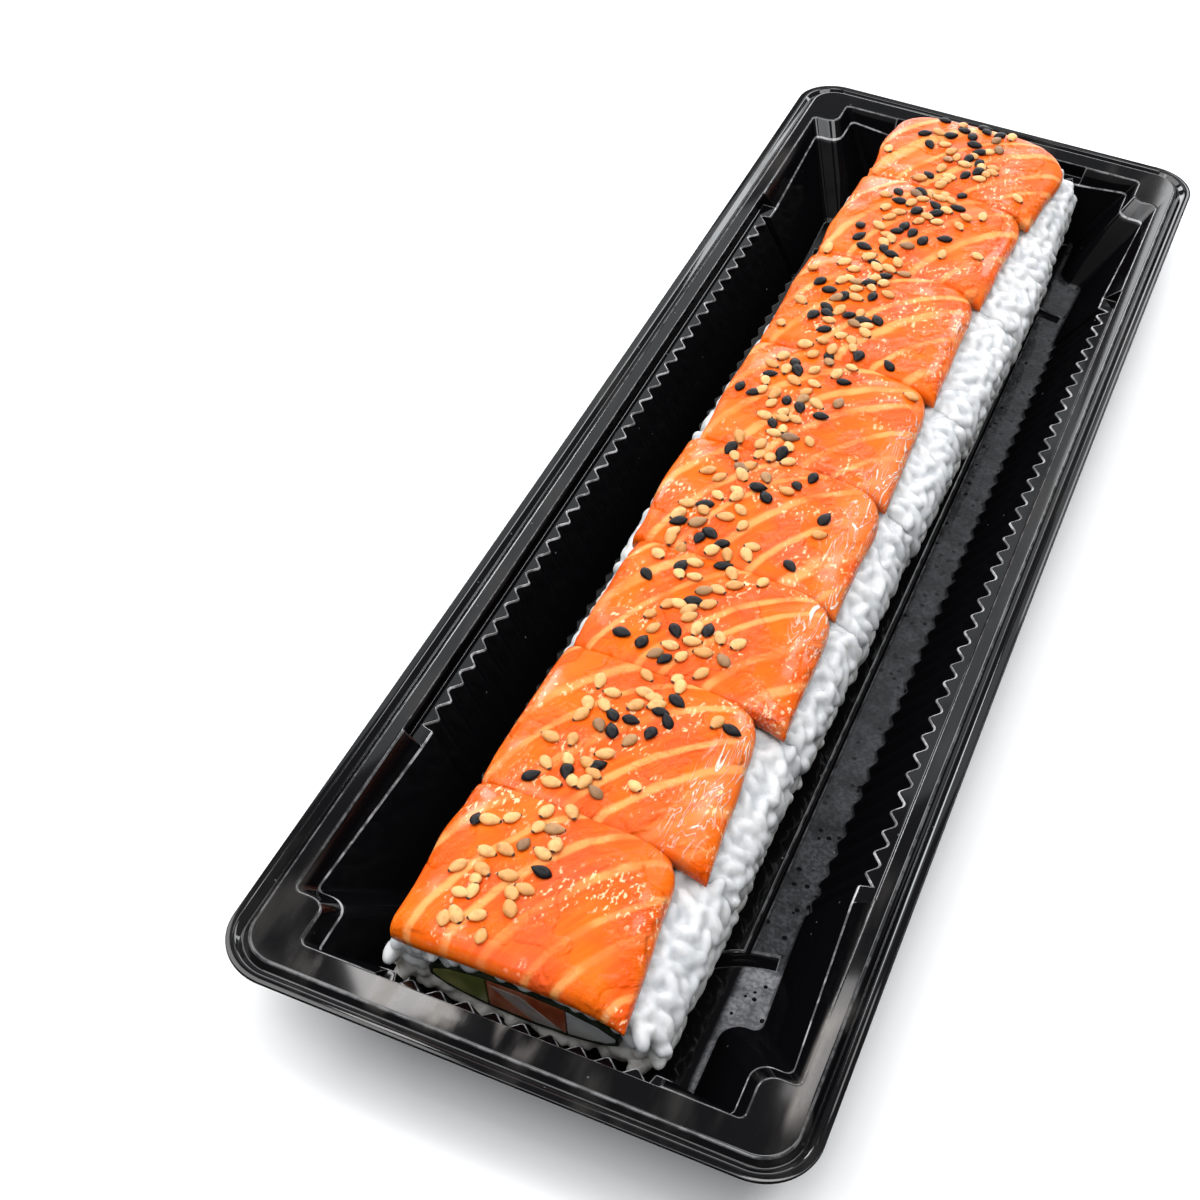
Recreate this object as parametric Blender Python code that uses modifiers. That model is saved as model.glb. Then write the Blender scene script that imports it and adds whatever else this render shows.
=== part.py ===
"""Takeaway sushi tray: one sliced roll of eight pieces in a black formed tray.

Metres, +Z up. X runs across the tray and Y along it. The origin is under the
middle of the tray, on the surface that it stands on. The sizes below are in
millimetres, and MM turns them into metres where a mesh is made.
"""

import math
import random

import bmesh
import bpy
from mathutils import Matrix, Vector
from mathutils.bvhtree import BVHTree

MM = 0.001
GAP = 0.3
MERGE = 0.00001

# Tray: outside sizes and the heights of the sheet's upper face
TRAY_WIDTH = 90.0
TRAY_LENGTH = 270.0
SHEET = 0.6
CHANNEL_Z = 0.6
FLOOR_Z = 1.1
LEDGE_Z = 13.6
GROOVE_Z = 15.2
LIP_Z = 16.1
RIM_Z = 16.4
LIP_WIDTH = 1.3
GROOVE_WIDTH = 2.2
CORNER_RADIUS = 9.0
CORNER_SEGMENTS = 6
SIDE_BOW = 0.6

# Tray: the opening at the rim and the foot of the walls, as half sizes
OPENING_X = 39.2
OPENING_Y = 126.9
FOOT_X = 29.2
FOOT_Y = 118.9
PAD_CORNER = (33.8, 119.0)
PAD_RADIUS = 2.6
PAD_FILLET = 1.0
BUTTRESS_CORNER = (23.7, 103.0)
BUTTRESS_RADIUS = 3.6
BUTTRESS_FILLET = 1.5
BAND_DRAFT = 0.25

# Tray: the rows of upright ribs, with a flat one at each end of a row
RIB_PITCH = 4.33
LONG_RIBS = 18
SHORT_RIBS = 4
END_RIB_START = 0.5
LONG_END_RIB = 3.6
SHORT_END_RIB = 1.4
LEDGE_RIB_DEPTH = 2.0
FOOT_RIB_DEPTH = 1.0
LONG_TIP_REACH = 1.4
SHORT_TIP_REACH = 1.7
FOOT_TIP_REACH = 0.7
UNDERSIDE_REACH = 0.15

# Tray: drain channels in the floor
CHANNEL_X = 22.85
CHANNEL_WIDTH = 1.1
CHANNEL_DRAFT = 0.22
RING_CENTRE = (30.0, 110.0)
RING_OUTER = 21.0
RING_INNER = 18.2
RING_START = -96.0
RING_END = -192.0
RING_SEGMENTS = 6

# Roll: eight pieces between nine cuts, the nearest (lowest Y) first
CUTS = (-121.3, -92.0, -60.2, -32.0, -2.5, 29.7, 63.0, 95.0, 122.3)
CUT_GAP = 0.6
RICE_BOTTOM = FLOOR_Z + GAP
RICE_TOP = LIP_Z + 2.6
RICE_MIDDLE = (RICE_TOP + RICE_BOTTOM) / 2
PIECE_WIDTHS = (44.5, 45.0, 45.4, 46.8, 47.2, 47.4, 47.4, 44.8)
PIECE_SHIFTS = (-1.9, -2.1, -1.5, -1.8, -1.1, -0.2, 0.3, 0.3)
PIECE_SKEWS = (0.020, -0.012, 0.016, -0.010, 0.014, 0.012, -0.014, -0.020)
PIECES = len(PIECE_WIDTHS)
NEAR_LEAN = 3.6
FAR_LEAN = 4.6
RICE_POWER = 3.4
RICE_TURN = 62.0
RICE_FLAT = 0.4
RICE_BUMP = 0.6
RICE_RINGS = 9
SIDE_POINTS = 9
SMOOTH_POINTS = 3

# Roll: the seaweed oval and the fillings inside it
OVAL_WIDTH = 30.5
OVAL_HEIGHT = 10.6
OVAL_SIDES = 14
SEAWEED = 0.45
FILLING_INSET = 0.9
AVOCADO_RIGHT = -5.8
SALMON_RIGHT = 6.6
END_SHARES = (0.995, 0.9, 0.68)
STRIP_TOP = -2.8
STRIP_BOTTOM = 3.8
STRIP_WIDTH = 4.4
STRIP_COVER = 1.4

# The salmon slice over each piece, with the X of its right end at its near and far edges
SLICE_RIGHTS = (
    (14.4, 11.6), (15.8, 12.8), (16.7, 16.0), (15.9, 15.4),
    (15.2, 14.4), (15.0, 14.2), (14.8, 15.6), (16.8, 18.6),
)
SLICE_THICKNESS = 3.9
FAR_THINNING = 0.82
EDGE_THINNING = 0.62
SLICE_CLEAR = 0.45
SLICE_SLANT = 0.6
SLICE_SLANT_X = 20.0
SLICE_GAP = 0.5
SEAM_REACH = 3.2
NEAR_OVERHANG = 0.8
FAR_OVERHANG = 2.0
COLUMN_SHARES = (0.5, 0.8, 1.0)
ROWS_ALONG = (0.0, 0.1, 0.35, 0.65, 0.9, 1.0)
RIGHT_CORNER = 0.7
LEFT_CORNER = 0.2
TIP_REACH = 0.7
NEAR_ROUND = 1.4
LEFT_ROUND = 0.6
FAR_ROUND = 2.4
END_ROUND = 3.0

# Sesame seeds that show from a step away
SEED_LENGTH = 3.3
SEED_WIDTH = 2.0
SEED_HEIGHT = 1.1
SEED_SIZES = (0.9, 1.1)
SEEDS_PER_PIECE = 9
SEED_PROUD = 0.15
SEED_SPACING = 3.8
SEED_MARGIN = 9.0
SEED_BAND = 9.0
SEED_BAND_X = -3.0
RANDOM_SEED = 11


def clear_scene():
    """Remove every object that the file starts with."""
    for obj in list(bpy.data.objects):
        bpy.data.objects.remove(obj, do_unlink=True)


def new_collection(name):
    """Make a collection and hang it under the scene."""
    collection = bpy.data.collections.new(name)
    bpy.context.scene.collection.children.link(collection)
    return collection


def plain_material(name, colour, roughness):
    """A Principled material with the piece's own colour."""
    material = bpy.data.materials.new(name)
    material.use_nodes = True
    shader = material.node_tree.nodes["Principled BSDF"]
    shader.inputs["Base Color"].default_value = (*colour, 1.0)
    shader.inputs["Roughness"].default_value = roughness
    return material


def mesh_object(name, bm, material, collection):
    """Turn a bmesh in millimetres into an object in metres."""
    bmesh.ops.scale(bm, vec=(MM, MM, MM), verts=bm.verts)
    mesh = bpy.data.meshes.new(name)
    bm.to_mesh(mesh)
    bm.free()
    mesh.materials.append(material)
    obj = bpy.data.objects.new(name, mesh)
    collection.objects.link(obj)
    return obj


def apply_modifiers(obj):
    """Replace an object's mesh with its evaluated one."""
    depsgraph = bpy.context.evaluated_depsgraph_get()
    mesh = bpy.data.meshes.new_from_object(obj.evaluated_get(depsgraph))
    obj.modifiers.clear()
    obj.data = mesh


def lerp(a, b, t):
    """The number that is the share t of the way from a to b."""
    return a + (b - a) * t


def arc(centre, radius, start, end, segments):
    """Points on an arc, with the angles in degrees."""
    points = []
    for i in range(segments + 1):
        angle = math.radians(lerp(start, end, i / segments))
        points.append((centre[0] + radius * math.cos(angle), centre[1] + radius * math.sin(angle)))
    return points


# The tray is modelled as a quarter of the sheet's upper face, x and y from 0 up.
# Each path below runs from the middle of the long side to the middle of the short side.


def bowed(x, y):
    """The long sides of the soft tray are drawn in a little at the middle."""
    draw_in = SIDE_BOW * (1.0 - (y / (TRAY_LENGTH / 2)) ** 2)
    return x * (1.0 - draw_in / (TRAY_WIDTH / 2))


def add_path(bm, path, z):
    """Put the points of a path into a mesh at one height."""
    return [bm.verts.new((bowed(x, y), y, z)) for x, y in path]


def bridge(bm, outer, inner):
    """Join two open paths of equal count with a band of faces."""
    for i in range(len(outer) - 1):
        bm.faces.new((outer[i], outer[i + 1], inner[i + 1], inner[i]))


def rim_path(inset):
    """A quarter of a rounded rectangle, with spare points on the long side for the bow."""
    half_x = TRAY_WIDTH / 2 - inset
    half_y = TRAY_LENGTH / 2 - inset
    radius = CORNER_RADIUS - inset
    side = [(half_x, 0.0), (half_x, half_y * 0.35), (half_x, half_y * 0.7)]
    corner = arc((half_x - radius, half_y - radius), radius, 0.0, 90.0, CORNER_SEGMENTS)
    return side + corner + [(0.0, half_y)]


def corner_path(line_x, line_y, corner, radius, fillet):
    """The way round a corner pad, from the long wall to the short wall."""
    path = arc((line_x - fillet, corner[1] - fillet), fillet, 0.0, 90.0, 2)
    path += arc((corner[0] + radius, corner[1] + radius), radius, -90.0, -180.0, 3)
    path += arc((corner[0] - fillet, line_y - fillet), fillet, 0.0, 90.0, 2)
    return path


def rib_row(count, tip, depth, end_rib):
    """Half a row of ribs as (along, across) points, ending with a flat rib."""
    row = []
    for k in range(count + 1):
        row.append((k * RIB_PITCH, tip))
        row.append(((k + 0.5) * RIB_PITCH, tip + depth))
    flat_start = (count + 0.5) * RIB_PITCH + END_RIB_START
    row.append((flat_start, tip))
    row.append((flat_start + end_rib, tip))
    return row


def wall_path(long_tip, short_tip, depth, corner):
    """One level of the ribbed walls. Returns the path and its two row lengths."""
    long_row = [(x, y) for y, x in rib_row(LONG_RIBS, long_tip, depth, LONG_END_RIB)]
    short_row = rib_row(SHORT_RIBS, short_tip, depth, SHORT_END_RIB)
    short_row.reverse()
    return long_row + corner + short_row, len(long_row), len(short_row)


def channel_outline():
    """The drain channel's outline in one quarter: a straight run into a corner ring."""
    left = CHANNEL_X - CHANNEL_WIDTH / 2
    right = CHANNEL_X + CHANNEL_WIDTH / 2
    left_angle = -math.degrees(math.acos((left - RING_CENTRE[0]) / RING_OUTER))
    right_angle = -math.degrees(math.acos((right - RING_CENTRE[0]) / RING_OUTER))
    path = [(left, 0.0)]
    path += arc(RING_CENTRE, RING_OUTER, left_angle, RING_END, RING_SEGMENTS)
    path += arc(RING_CENTRE, RING_INNER, RING_END, RING_START, RING_SEGMENTS)
    path += arc(RING_CENTRE, RING_OUTER, RING_START, right_angle, 1)
    path.append((right, 0.0))
    return path


def inset_path(path, distance):
    """Move an open path sideways to its right-hand side, with mitred corners."""
    moved = []
    for i, point in enumerate(path):
        here = Vector(point)
        ahead = Vector(path[min(i + 1, len(path) - 1)])
        behind = Vector(path[max(i - 1, 0)])
        sides = []
        for step in (here - behind, ahead - here):
            if step.length > 0.0:
                sides.append(Vector((step.y, -step.x)).normalized())
        side = sum(sides, Vector((0.0, 0.0))).normalized()
        moved.append(tuple(here + side * distance / max(side.dot(sides[0]), 0.4)))
    return moved


def build_tray_quarter():
    """The upper face of a quarter of the tray, from the outer lip to the floor."""
    bm = bmesh.new()
    lip = add_path(bm, rim_path(0.0), LIP_Z)
    lip_edge = add_path(bm, rim_path(LIP_WIDTH), LIP_Z)
    groove = add_path(bm, rim_path(LIP_WIDTH + GROOVE_WIDTH / 2), GROOVE_Z)
    top = add_path(bm, rim_path(LIP_WIDTH + GROOVE_WIDTH), RIM_Z)
    bridge(bm, lip, lip_edge)
    bridge(bm, lip_edge, groove)
    bridge(bm, groove, top)

    drop = (RIM_Z - LEDGE_Z) / (RIM_Z - FLOOR_Z)
    rim_corner = corner_path(OPENING_X, OPENING_Y, PAD_CORNER, PAD_RADIUS, PAD_FILLET)
    foot_corner = corner_path(FOOT_X, FOOT_Y, BUTTRESS_CORNER, BUTTRESS_RADIUS, BUTTRESS_FILLET)
    ledge_corner = []
    for high, low in zip(rim_corner, foot_corner):
        ledge_corner.append((lerp(high[0], low[0], drop), lerp(high[1], low[1], drop)))
    ledge_x = lerp(OPENING_X, FOOT_X, drop) - LONG_TIP_REACH
    ledge_y = lerp(OPENING_Y, FOOT_Y, drop) - SHORT_TIP_REACH

    ledge_path, long_count, short_count = wall_path(ledge_x, ledge_y, LEDGE_RIB_DEPTH, ledge_corner)
    foot_path = wall_path(FOOT_X - FOOT_TIP_REACH, FOOT_Y - FOOT_TIP_REACH, FOOT_RIB_DEPTH, foot_corner)[0]
    ledge = add_path(bm, ledge_path, LEDGE_Z)
    foot = add_path(bm, foot_path, FLOOR_Z)
    bridge(bm, ledge, foot)

    # The upright band over the ledge stands back from the rib tips, except at the corner
    long_end = ledge_path[long_count - 1][1]
    short_end = ledge_path[-short_count][0]
    long_marks = (0.0, long_end * 0.5, long_end)
    short_marks = (short_end, 0.0)
    edge_path = [(OPENING_X, y) for y in (*long_marks, long_end + END_RIB_START)]
    edge_path += rim_corner
    edge_path += [(x, OPENING_Y) for x in (short_end + END_RIB_START, *short_marks)]
    edge = add_path(bm, edge_path, RIM_Z)
    long_band = add_path(bm, [(OPENING_X - BAND_DRAFT, y) for y in long_marks], LEDGE_Z)
    short_band = add_path(bm, [(x, OPENING_Y - BAND_DRAFT) for x in short_marks], LEDGE_Z)
    shared = ledge[long_count - 1:len(ledge) - short_count + 1]
    bridge(bm, edge, long_band + shared + short_band)
    bm.faces.new(long_band + ledge[long_count - 1::-1])
    bm.faces.new(short_band + ledge[:-short_count - 1:-1])
    bm.faces.new(top + edge[::-1])

    outline = channel_outline()
    channel_top = add_path(bm, outline, FLOOR_Z)
    channel_foot = add_path(bm, inset_path(outline, CHANNEL_DRAFT), CHANNEL_Z)
    centre = bm.verts.new((0.0, 0.0, FLOOR_Z))
    bridge(bm, channel_top, channel_foot)
    bm.faces.new(channel_foot)
    # The floor is two faces that meet between the ring's end and the wall
    ring_end = 2 * RING_SEGMENTS + 3
    bm.faces.new(channel_top[ring_end:] + foot[:long_count])
    bm.faces.new([centre] + channel_top[:ring_end + 1] + foot[long_count - 1:])
    return bm


def build_tray(parts, material):
    """Mirror the quarter, give the sheet its thickness and flatten its underside."""
    bm = build_tray_quarter()
    bm.normal_update()
    bmesh.ops.triangulate(bm, faces=bm.faces)
    bmesh.ops.recalc_face_normals(bm, faces=bm.faces)
    if sum(face.normal.z * face.calc_area() for face in bm.faces) < 0.0:
        bmesh.ops.reverse_faces(bm, faces=bm.faces)
    tray = mesh_object("tray", bm, material, parts)
    mirror = tray.modifiers.new("Mirror", "MIRROR")
    mirror.use_axis = (True, True, False)
    mirror.merge_threshold = MERGE
    solidify = tray.modifiers.new("Sheet", "SOLIDIFY")
    solidify.thickness = SHEET * MM
    solidify.offset = -1.0
    solidify.use_even_offset = True
    apply_modifiers(tray)
    underside = (CHANNEL_Z - SHEET, FLOOR_Z - SHEET)
    for vert in tray.data.vertices:
        for level in underside:
            if abs(vert.co.z - level * MM) < UNDERSIDE_REACH * MM:
                vert.co.z = level * MM
    return tray


class Piece:
    """Where one piece of the roll stands, and how its own space is bent into place."""

    def __init__(self, index):
        self.index = index
        self.number = index + 1
        self.width = PIECE_WIDTHS[index]
        self.shift = PIECE_SHIFTS[index]
        self.skew = PIECE_SKEWS[index]
        self.length = CUTS[index + 1] - CUTS[index] - CUT_GAP
        self.middle = (CUTS[index + 1] + CUTS[index]) / 2
        self.near_lean = NEAR_LEAN if index == 0 else 0.0
        self.far_lean = FAR_LEAN if index == PIECES - 1 else 0.0

    def place(self, x, y, z):
        """Take a point of the piece, with y along it from its middle, to the tray's space."""
        low = 1.0 - (z - RICE_BOTTOM) / (RICE_TOP - RICE_BOTTOM)
        along = y / self.length
        lean = self.near_lean * low * (0.5 - along) - self.far_lean * low * (0.5 + along)
        return (self.shift + x + self.skew * y, self.middle + y + lean, z)


def rice_outline(width):
    """The section of the rice as (x, z) points, from its lower right round by the top.

    Returns the points and, for each of them, whether it may be pushed into a bump.
    """
    half_x = width / 2
    half_z = (RICE_TOP - RICE_BOTTOM) / 2
    right = []
    bumpy = []
    for i in range(SIDE_POINTS):
        angle = math.radians(lerp(-RICE_TURN, RICE_TURN, i / (SIDE_POINTS - 1)))
        x = half_x * abs(math.cos(angle)) ** (2 / RICE_POWER)
        z = half_z * math.copysign(abs(math.sin(angle)) ** (2 / RICE_POWER), angle)
        right.append((x, RICE_MIDDLE + z))
        bumpy.append(0 < i < SIDE_POINTS - SMOOTH_POINTS)
    flat_x = half_x * RICE_FLAT
    top_middle = [(flat_x, RICE_TOP), (-flat_x, RICE_TOP)]
    bottom_middle = [(-flat_x, RICE_BOTTOM), (flat_x, RICE_BOTTOM)]
    left = [(-x, z) for x, z in reversed(right)]
    points = right + top_middle + left + bottom_middle
    flags = bumpy + [False, False] + bumpy[::-1] + [False, False]
    return points, flags


def oval(width, height, inset):
    """The seaweed oval, inset all round, as (x, z) points."""
    points = []
    for i in range(OVAL_SIDES):
        angle = 2 * math.pi * (i + 0.5) / OVAL_SIDES
        x = (width / 2 - inset) * math.cos(angle)
        z = (height / 2 - inset) * math.sin(angle)
        points.append((x, RICE_MIDDLE + z))
    return points


def oval_half_height(x, inset):
    """Half of the oval's height at x."""
    across = x / (OVAL_WIDTH / 2 - inset)
    return (OVAL_HEIGHT / 2 - inset) * math.sqrt(max(0.0, 1.0 - across * across))


def loft(bm, rings):
    """Join rings of equal count and close both ends."""
    rows = [[bm.verts.new(point) for point in ring] for ring in rings]
    count = len(rows[0])
    for near, far in zip(rows, rows[1:]):
        for i in range(count):
            j = (i + 1) % count
            bm.faces.new((near[i], near[j], far[j], far[i]))
    bm.faces.new(rows[0])
    bm.faces.new(rows[-1])
    bmesh.ops.recalc_face_normals(bm, faces=bm.faces)


def build_rice(piece, parts, cutters, material, rng):
    """The rice round the seaweed: a bumpy loaf with the oval cut through it."""
    outline, bumpy = rice_outline(piece.width)
    rings = []
    for k in range(RICE_RINGS):
        y = lerp(-0.5, 0.5, k / (RICE_RINGS - 1)) * piece.length
        ring = []
        for (x, z), rough in zip(outline, bumpy):
            push = rng.uniform(-RICE_BUMP, RICE_BUMP) if rough else 0.0
            ring.append(piece.place(x + math.copysign(push, x), y, z))
        rings.append(ring)
    bm = bmesh.new()
    loft(bm, rings)
    rice = mesh_object(f"rice_{piece.number}", bm, material, parts)

    ends = (-0.6 * piece.length, 0.6 * piece.length)
    bm = bmesh.new()
    loft(bm, [[piece.place(x, y, z) for x, z in oval(OVAL_WIDTH, OVAL_HEIGHT, -GAP)] for y in ends])
    cutter = mesh_object(f"rice_cutter_{piece.number}", bm, material, cutters)
    cutter.hide_render = True
    cutter.display_type = "WIRE"
    cut = rice.modifiers.new("Core", "BOOLEAN")
    cut.operation = "DIFFERENCE"
    cut.solver = "EXACT"
    cut.object = cutter
    return rice


def build_seaweed(piece, parts, material):
    """The seaweed: an open oval tube with a thickness."""
    bm = bmesh.new()
    rows = []
    for y in (-0.5 * piece.length, 0.5 * piece.length):
        ring = [piece.place(x, y, z) for x, z in oval(OVAL_WIDTH, OVAL_HEIGHT, 0.0)]
        rows.append([bm.verts.new(point) for point in ring])
    for i in range(OVAL_SIDES):
        j = (i + 1) % OVAL_SIDES
        bm.faces.new((rows[0][i], rows[0][j], rows[1][j], rows[1][i]))
    bmesh.ops.recalc_face_normals(bm, faces=bm.faces)
    seaweed = mesh_object(f"seaweed_{piece.number}", bm, material, parts)
    solidify = seaweed.modifiers.new("Thickness", "SOLIDIFY")
    solidify.thickness = SEAWEED * MM
    solidify.offset = -1.0
    solidify.use_even_offset = True
    solidify.use_rim = True
    return seaweed


def build_filling(name, outline, piece, parts, material):
    """A filling that runs the length of the piece with one section."""
    bm = bmesh.new()
    ends = (-0.5 * piece.length, 0.5 * piece.length)
    loft(bm, [[piece.place(x, y, z) for x, z in outline] for y in ends])
    return mesh_object(f"{name}_{piece.number}", bm, material, parts)


def build_fillings(piece, parts, materials):
    """Avocado, salmon with a white strip through it, and loose rice, side by side."""
    def wall(x, side):
        """A point on the inside of the seaweed, above (1) or below (-1) its middle."""
        return (x, RICE_MIDDLE + side * oval_half_height(x, FILLING_INSET))

    far_x = OVAL_WIDTH / 2 - FILLING_INSET
    avocado_xs = [-far_x * share for share in END_SHARES] + [AVOCADO_RIGHT]
    avocado = [wall(x, 1) for x in avocado_xs] + [wall(x, -1) for x in reversed(avocado_xs)]
    rice_xs = [SALMON_RIGHT + GAP] + [far_x * share for share in reversed(END_SHARES)]
    rice = [wall(x, 1) for x in rice_xs] + [wall(x, -1) for x in reversed(rice_xs)]

    half = STRIP_WIDTH / 2
    slot = half + GAP
    floor_z = RICE_MIDDLE - oval_half_height(STRIP_BOTTOM + slot, FILLING_INSET)
    roof_z = RICE_MIDDLE + oval_half_height(STRIP_TOP, FILLING_INSET) - STRIP_COVER
    salmon = [wall(AVOCADO_RIGHT + GAP, 1), wall(0.0, 1), wall(SALMON_RIGHT, 1), wall(SALMON_RIGHT, -1)]
    salmon += [(STRIP_BOTTOM + slot, floor_z), (STRIP_TOP + slot, roof_z), (STRIP_TOP - slot, roof_z)]
    salmon += [wall(STRIP_BOTTOM - slot, -1), wall(AVOCADO_RIGHT + GAP, -1)]
    strip = [(STRIP_TOP - half, roof_z - GAP), (STRIP_TOP + half, roof_z - GAP)]
    strip += [(STRIP_BOTTOM + half, floor_z + GAP), wall(STRIP_BOTTOM - half, -1)]
    build_filling("avocado", avocado, piece, parts, materials["avocado"])
    build_filling("salmon", salmon, piece, parts, materials["salmon"])
    build_filling("white_fish", strip, piece, parts, materials["white_fish"])
    build_filling("inner_rice", rice, piece, parts, materials["rice"])


def seam(k, x):
    """Where slice k begins along the tray: nearer at its right end than at its left."""
    if k == 0:
        return CUTS[0] - NEAR_OVERHANG
    if k == PIECES:
        return CUTS[PIECES] + FAR_OVERHANG
    return CUTS[k] - SLICE_SLANT * x / SLICE_SLANT_X


def profile_height(piece, x, y):
    """The height of one piece's rice under a point of the tray, or its foot beside it."""
    across = x - piece.shift - piece.skew * (y - piece.middle)
    points, _ = rice_outline(piece.width)
    upper = sorted(point for point in points if point[1] >= RICE_MIDDLE)
    for (x0, z0), (x1, z1) in zip(upper, upper[1:]):
        if x0 <= across <= x1 and x1 > x0:
            return lerp(z0, z1, (across - x0) / (x1 - x0))
    return RICE_BOTTOM


def roof(pieces, x, y):
    """The height of the highest rice within reach of a point of the tray."""
    near = [piece for piece in pieces if abs(y - piece.middle) < piece.length / 2 + SEAM_REACH]
    return max(profile_height(piece, x, y) for piece in near)


def slice_columns(piece, v):
    """Where the slice's columns stand across the tray, from its left drape to its right end."""
    outline, _ = rice_outline(piece.width)
    shoulder = [piece.shift - point[0] for point in outline[SIDE_POINTS - SMOOTH_POINTS:SIDE_POINTS]]
    crown = piece.width / 2 * RICE_FLAT
    middle = [piece.shift - crown, piece.shift, piece.shift + crown]
    right_end = lerp(*SLICE_RIGHTS[piece.index], v)
    return shoulder + middle + [lerp(middle[-1], right_end, share) for share in COLUMN_SHARES]


def slice_corner(piece, u, v):
    """How far a slice's corners are drawn along the tray: a tip near right, the rest rounded."""
    right = max(0.0, (u - RIGHT_CORNER) / (1.0 - RIGHT_CORNER)) ** 2
    left = max(0.0, (LEFT_CORNER - u) / LEFT_CORNER) ** 2
    pull = -TIP_REACH * right * (1.0 - v) + NEAR_ROUND * left * (1.0 - v)
    pull -= FAR_ROUND * right * v + LEFT_ROUND * left * v
    if piece.number == PIECES:
        pull -= END_ROUND * max(left, right) * v
    return pull


def build_slice(piece, pieces, material, parts):
    """The salmon slice: a grid laid on the rice, thinner towards its edges."""
    last_column = len(slice_columns(piece, 0.0)) - 1
    last_row = len(ROWS_ALONG) - 1
    bm = bmesh.new()
    bmesh.ops.create_grid(bm, x_segments=last_column, y_segments=last_row, size=0.5)
    weights = {}
    for vert in bm.verts:
        column = round((vert.co.x + 0.5) * last_column)
        row = round((vert.co.y + 0.5) * last_row)
        v = ROWS_ALONG[row]
        x = slice_columns(piece, v)[column]
        start = seam(piece.index, x) + SLICE_GAP / 2
        end = seam(piece.index + 1, x) - SLICE_GAP / 2
        y = lerp(start, end, v) + slice_corner(piece, column / last_column, v)
        vert.co = (x, y, roof(pieces, x, y) + SLICE_CLEAR)
        weights[vert.index] = lerp(1.0, FAR_THINNING, v)
        if column in (0, last_column) or row in (0, last_row):
            weights[vert.index] *= EDGE_THINNING
    bm.normal_update()
    bm.verts.index_update()
    topping = mesh_object(f"topping_{piece.number}", bm, material, parts)
    group = topping.vertex_groups.new(name="thickness")
    for index, weight in weights.items():
        group.add([index], weight, "REPLACE")
    solidify = topping.modifiers.new("Thickness", "SOLIDIFY")
    solidify.thickness = SLICE_THICKNESS * MM
    solidify.offset = 1.0
    solidify.use_even_offset = True
    solidify.vertex_group = group.name
    apply_modifiers(topping)
    return topping


def seed_places(piece, rng):
    """Scattered places along the band of seeds, clear of each other and of the seams."""
    places = []
    while len(places) < SEEDS_PER_PIECE:
        x = piece.shift + SEED_BAND_X + rng.gauss(0.0, SEED_BAND / 2)
        y = piece.middle + rng.uniform(-0.5, 0.5) * (piece.length - SEED_MARGIN)
        crowded = any(math.dist((x, y), place) < SEED_SPACING for place in places)
        if abs(x - piece.shift - SEED_BAND_X) < SEED_BAND and not crowded:
            places.append((x, y))
    return places


def add_seeds(topping, piece, rng):
    """Fuse the sesame seeds to the slice with one union on their collection."""
    surface = BVHTree.FromObject(topping, bpy.context.evaluated_depsgraph_get())
    seeds = new_collection("seeds")
    down = Vector((0.0, 0.0, -1.0))
    for x, y in seed_places(piece, rng):
        above = Vector((x, y, TRAY_WIDTH)) * MM
        spot, normal, _, _ = surface.ray_cast(above, down)
        bm = bmesh.new()
        bmesh.ops.create_uvsphere(bm, u_segments=6, v_segments=4, radius=0.5)
        size = Vector((SEED_LENGTH, SEED_WIDTH, SEED_HEIGHT)) * rng.uniform(*SEED_SIZES)
        bmesh.ops.scale(bm, vec=size, verts=bm.verts)
        spin = Matrix.Rotation(rng.uniform(0.0, math.pi), 3, "Z")
        turn = normal.to_track_quat("Z", "Y").to_matrix() @ spin
        bmesh.ops.transform(bm, matrix=turn.to_4x4(), verts=bm.verts)
        bmesh.ops.translate(bm, vec=spot / MM + normal * SEED_PROUD, verts=bm.verts)
        mesh_object("seed", bm, topping.data.materials[0], seeds)
    union = topping.modifiers.new("Seeds", "BOOLEAN")
    union.operation = "UNION"
    union.solver = "EXACT"
    union.operand_type = "COLLECTION"
    union.collection = seeds
    apply_modifiers(topping)
    for obj in list(seeds.objects):
        bpy.data.objects.remove(obj, do_unlink=True)
    bpy.data.collections.remove(seeds)


def main():
    """Build the tray, then the eight pieces with their slices."""
    clear_scene()
    parts = new_collection("sushi_tray")
    cutters = new_collection("cutters")
    materials = {
        "black_plastic": plain_material("black_plastic", (0.012, 0.012, 0.014), 0.12),
        "rice": plain_material("rice", (0.78, 0.80, 0.80), 0.4),
        "seaweed": plain_material("seaweed", (0.008, 0.014, 0.008), 0.45),
        "avocado": plain_material("avocado", (0.62, 0.66, 0.10), 0.45),
        "salmon": plain_material("salmon", (0.85, 0.22, 0.05), 0.3),
        "white_fish": plain_material("white_fish", (0.82, 0.68, 0.62), 0.35),
    }
    rng = random.Random(RANDOM_SEED)
    build_tray(parts, materials["black_plastic"])
    pieces = [Piece(index) for index in range(PIECES)]
    for piece in pieces:
        build_rice(piece, parts, cutters, materials["rice"], rng)
        build_seaweed(piece, parts, materials["seaweed"])
        build_fillings(piece, parts, materials)
    for piece in pieces:
        topping = build_slice(piece, pieces, materials["salmon"], parts)
        add_seeds(topping, piece, rng)


if __name__ == "__main__":
    main()
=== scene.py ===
# %% [markdown]
# # A takeaway tray with one sliced salmon roll
#
# The real thing is a long black tray, formed from one thin sheet, that holds a
# sushi roll cut in eight. Every piece wears its own slice of raw salmon, and
# sesame is scattered down the middle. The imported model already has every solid
# at its true size, so this file gives each of them its looks: finer meshes
# where the eye expects them and a procedural material on every surface.

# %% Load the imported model
import math
import random

import bmesh
import bpy
import numpy as np
from mathutils import Matrix, Vector, noise
from mathutils.bvhtree import BVHTree


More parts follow.
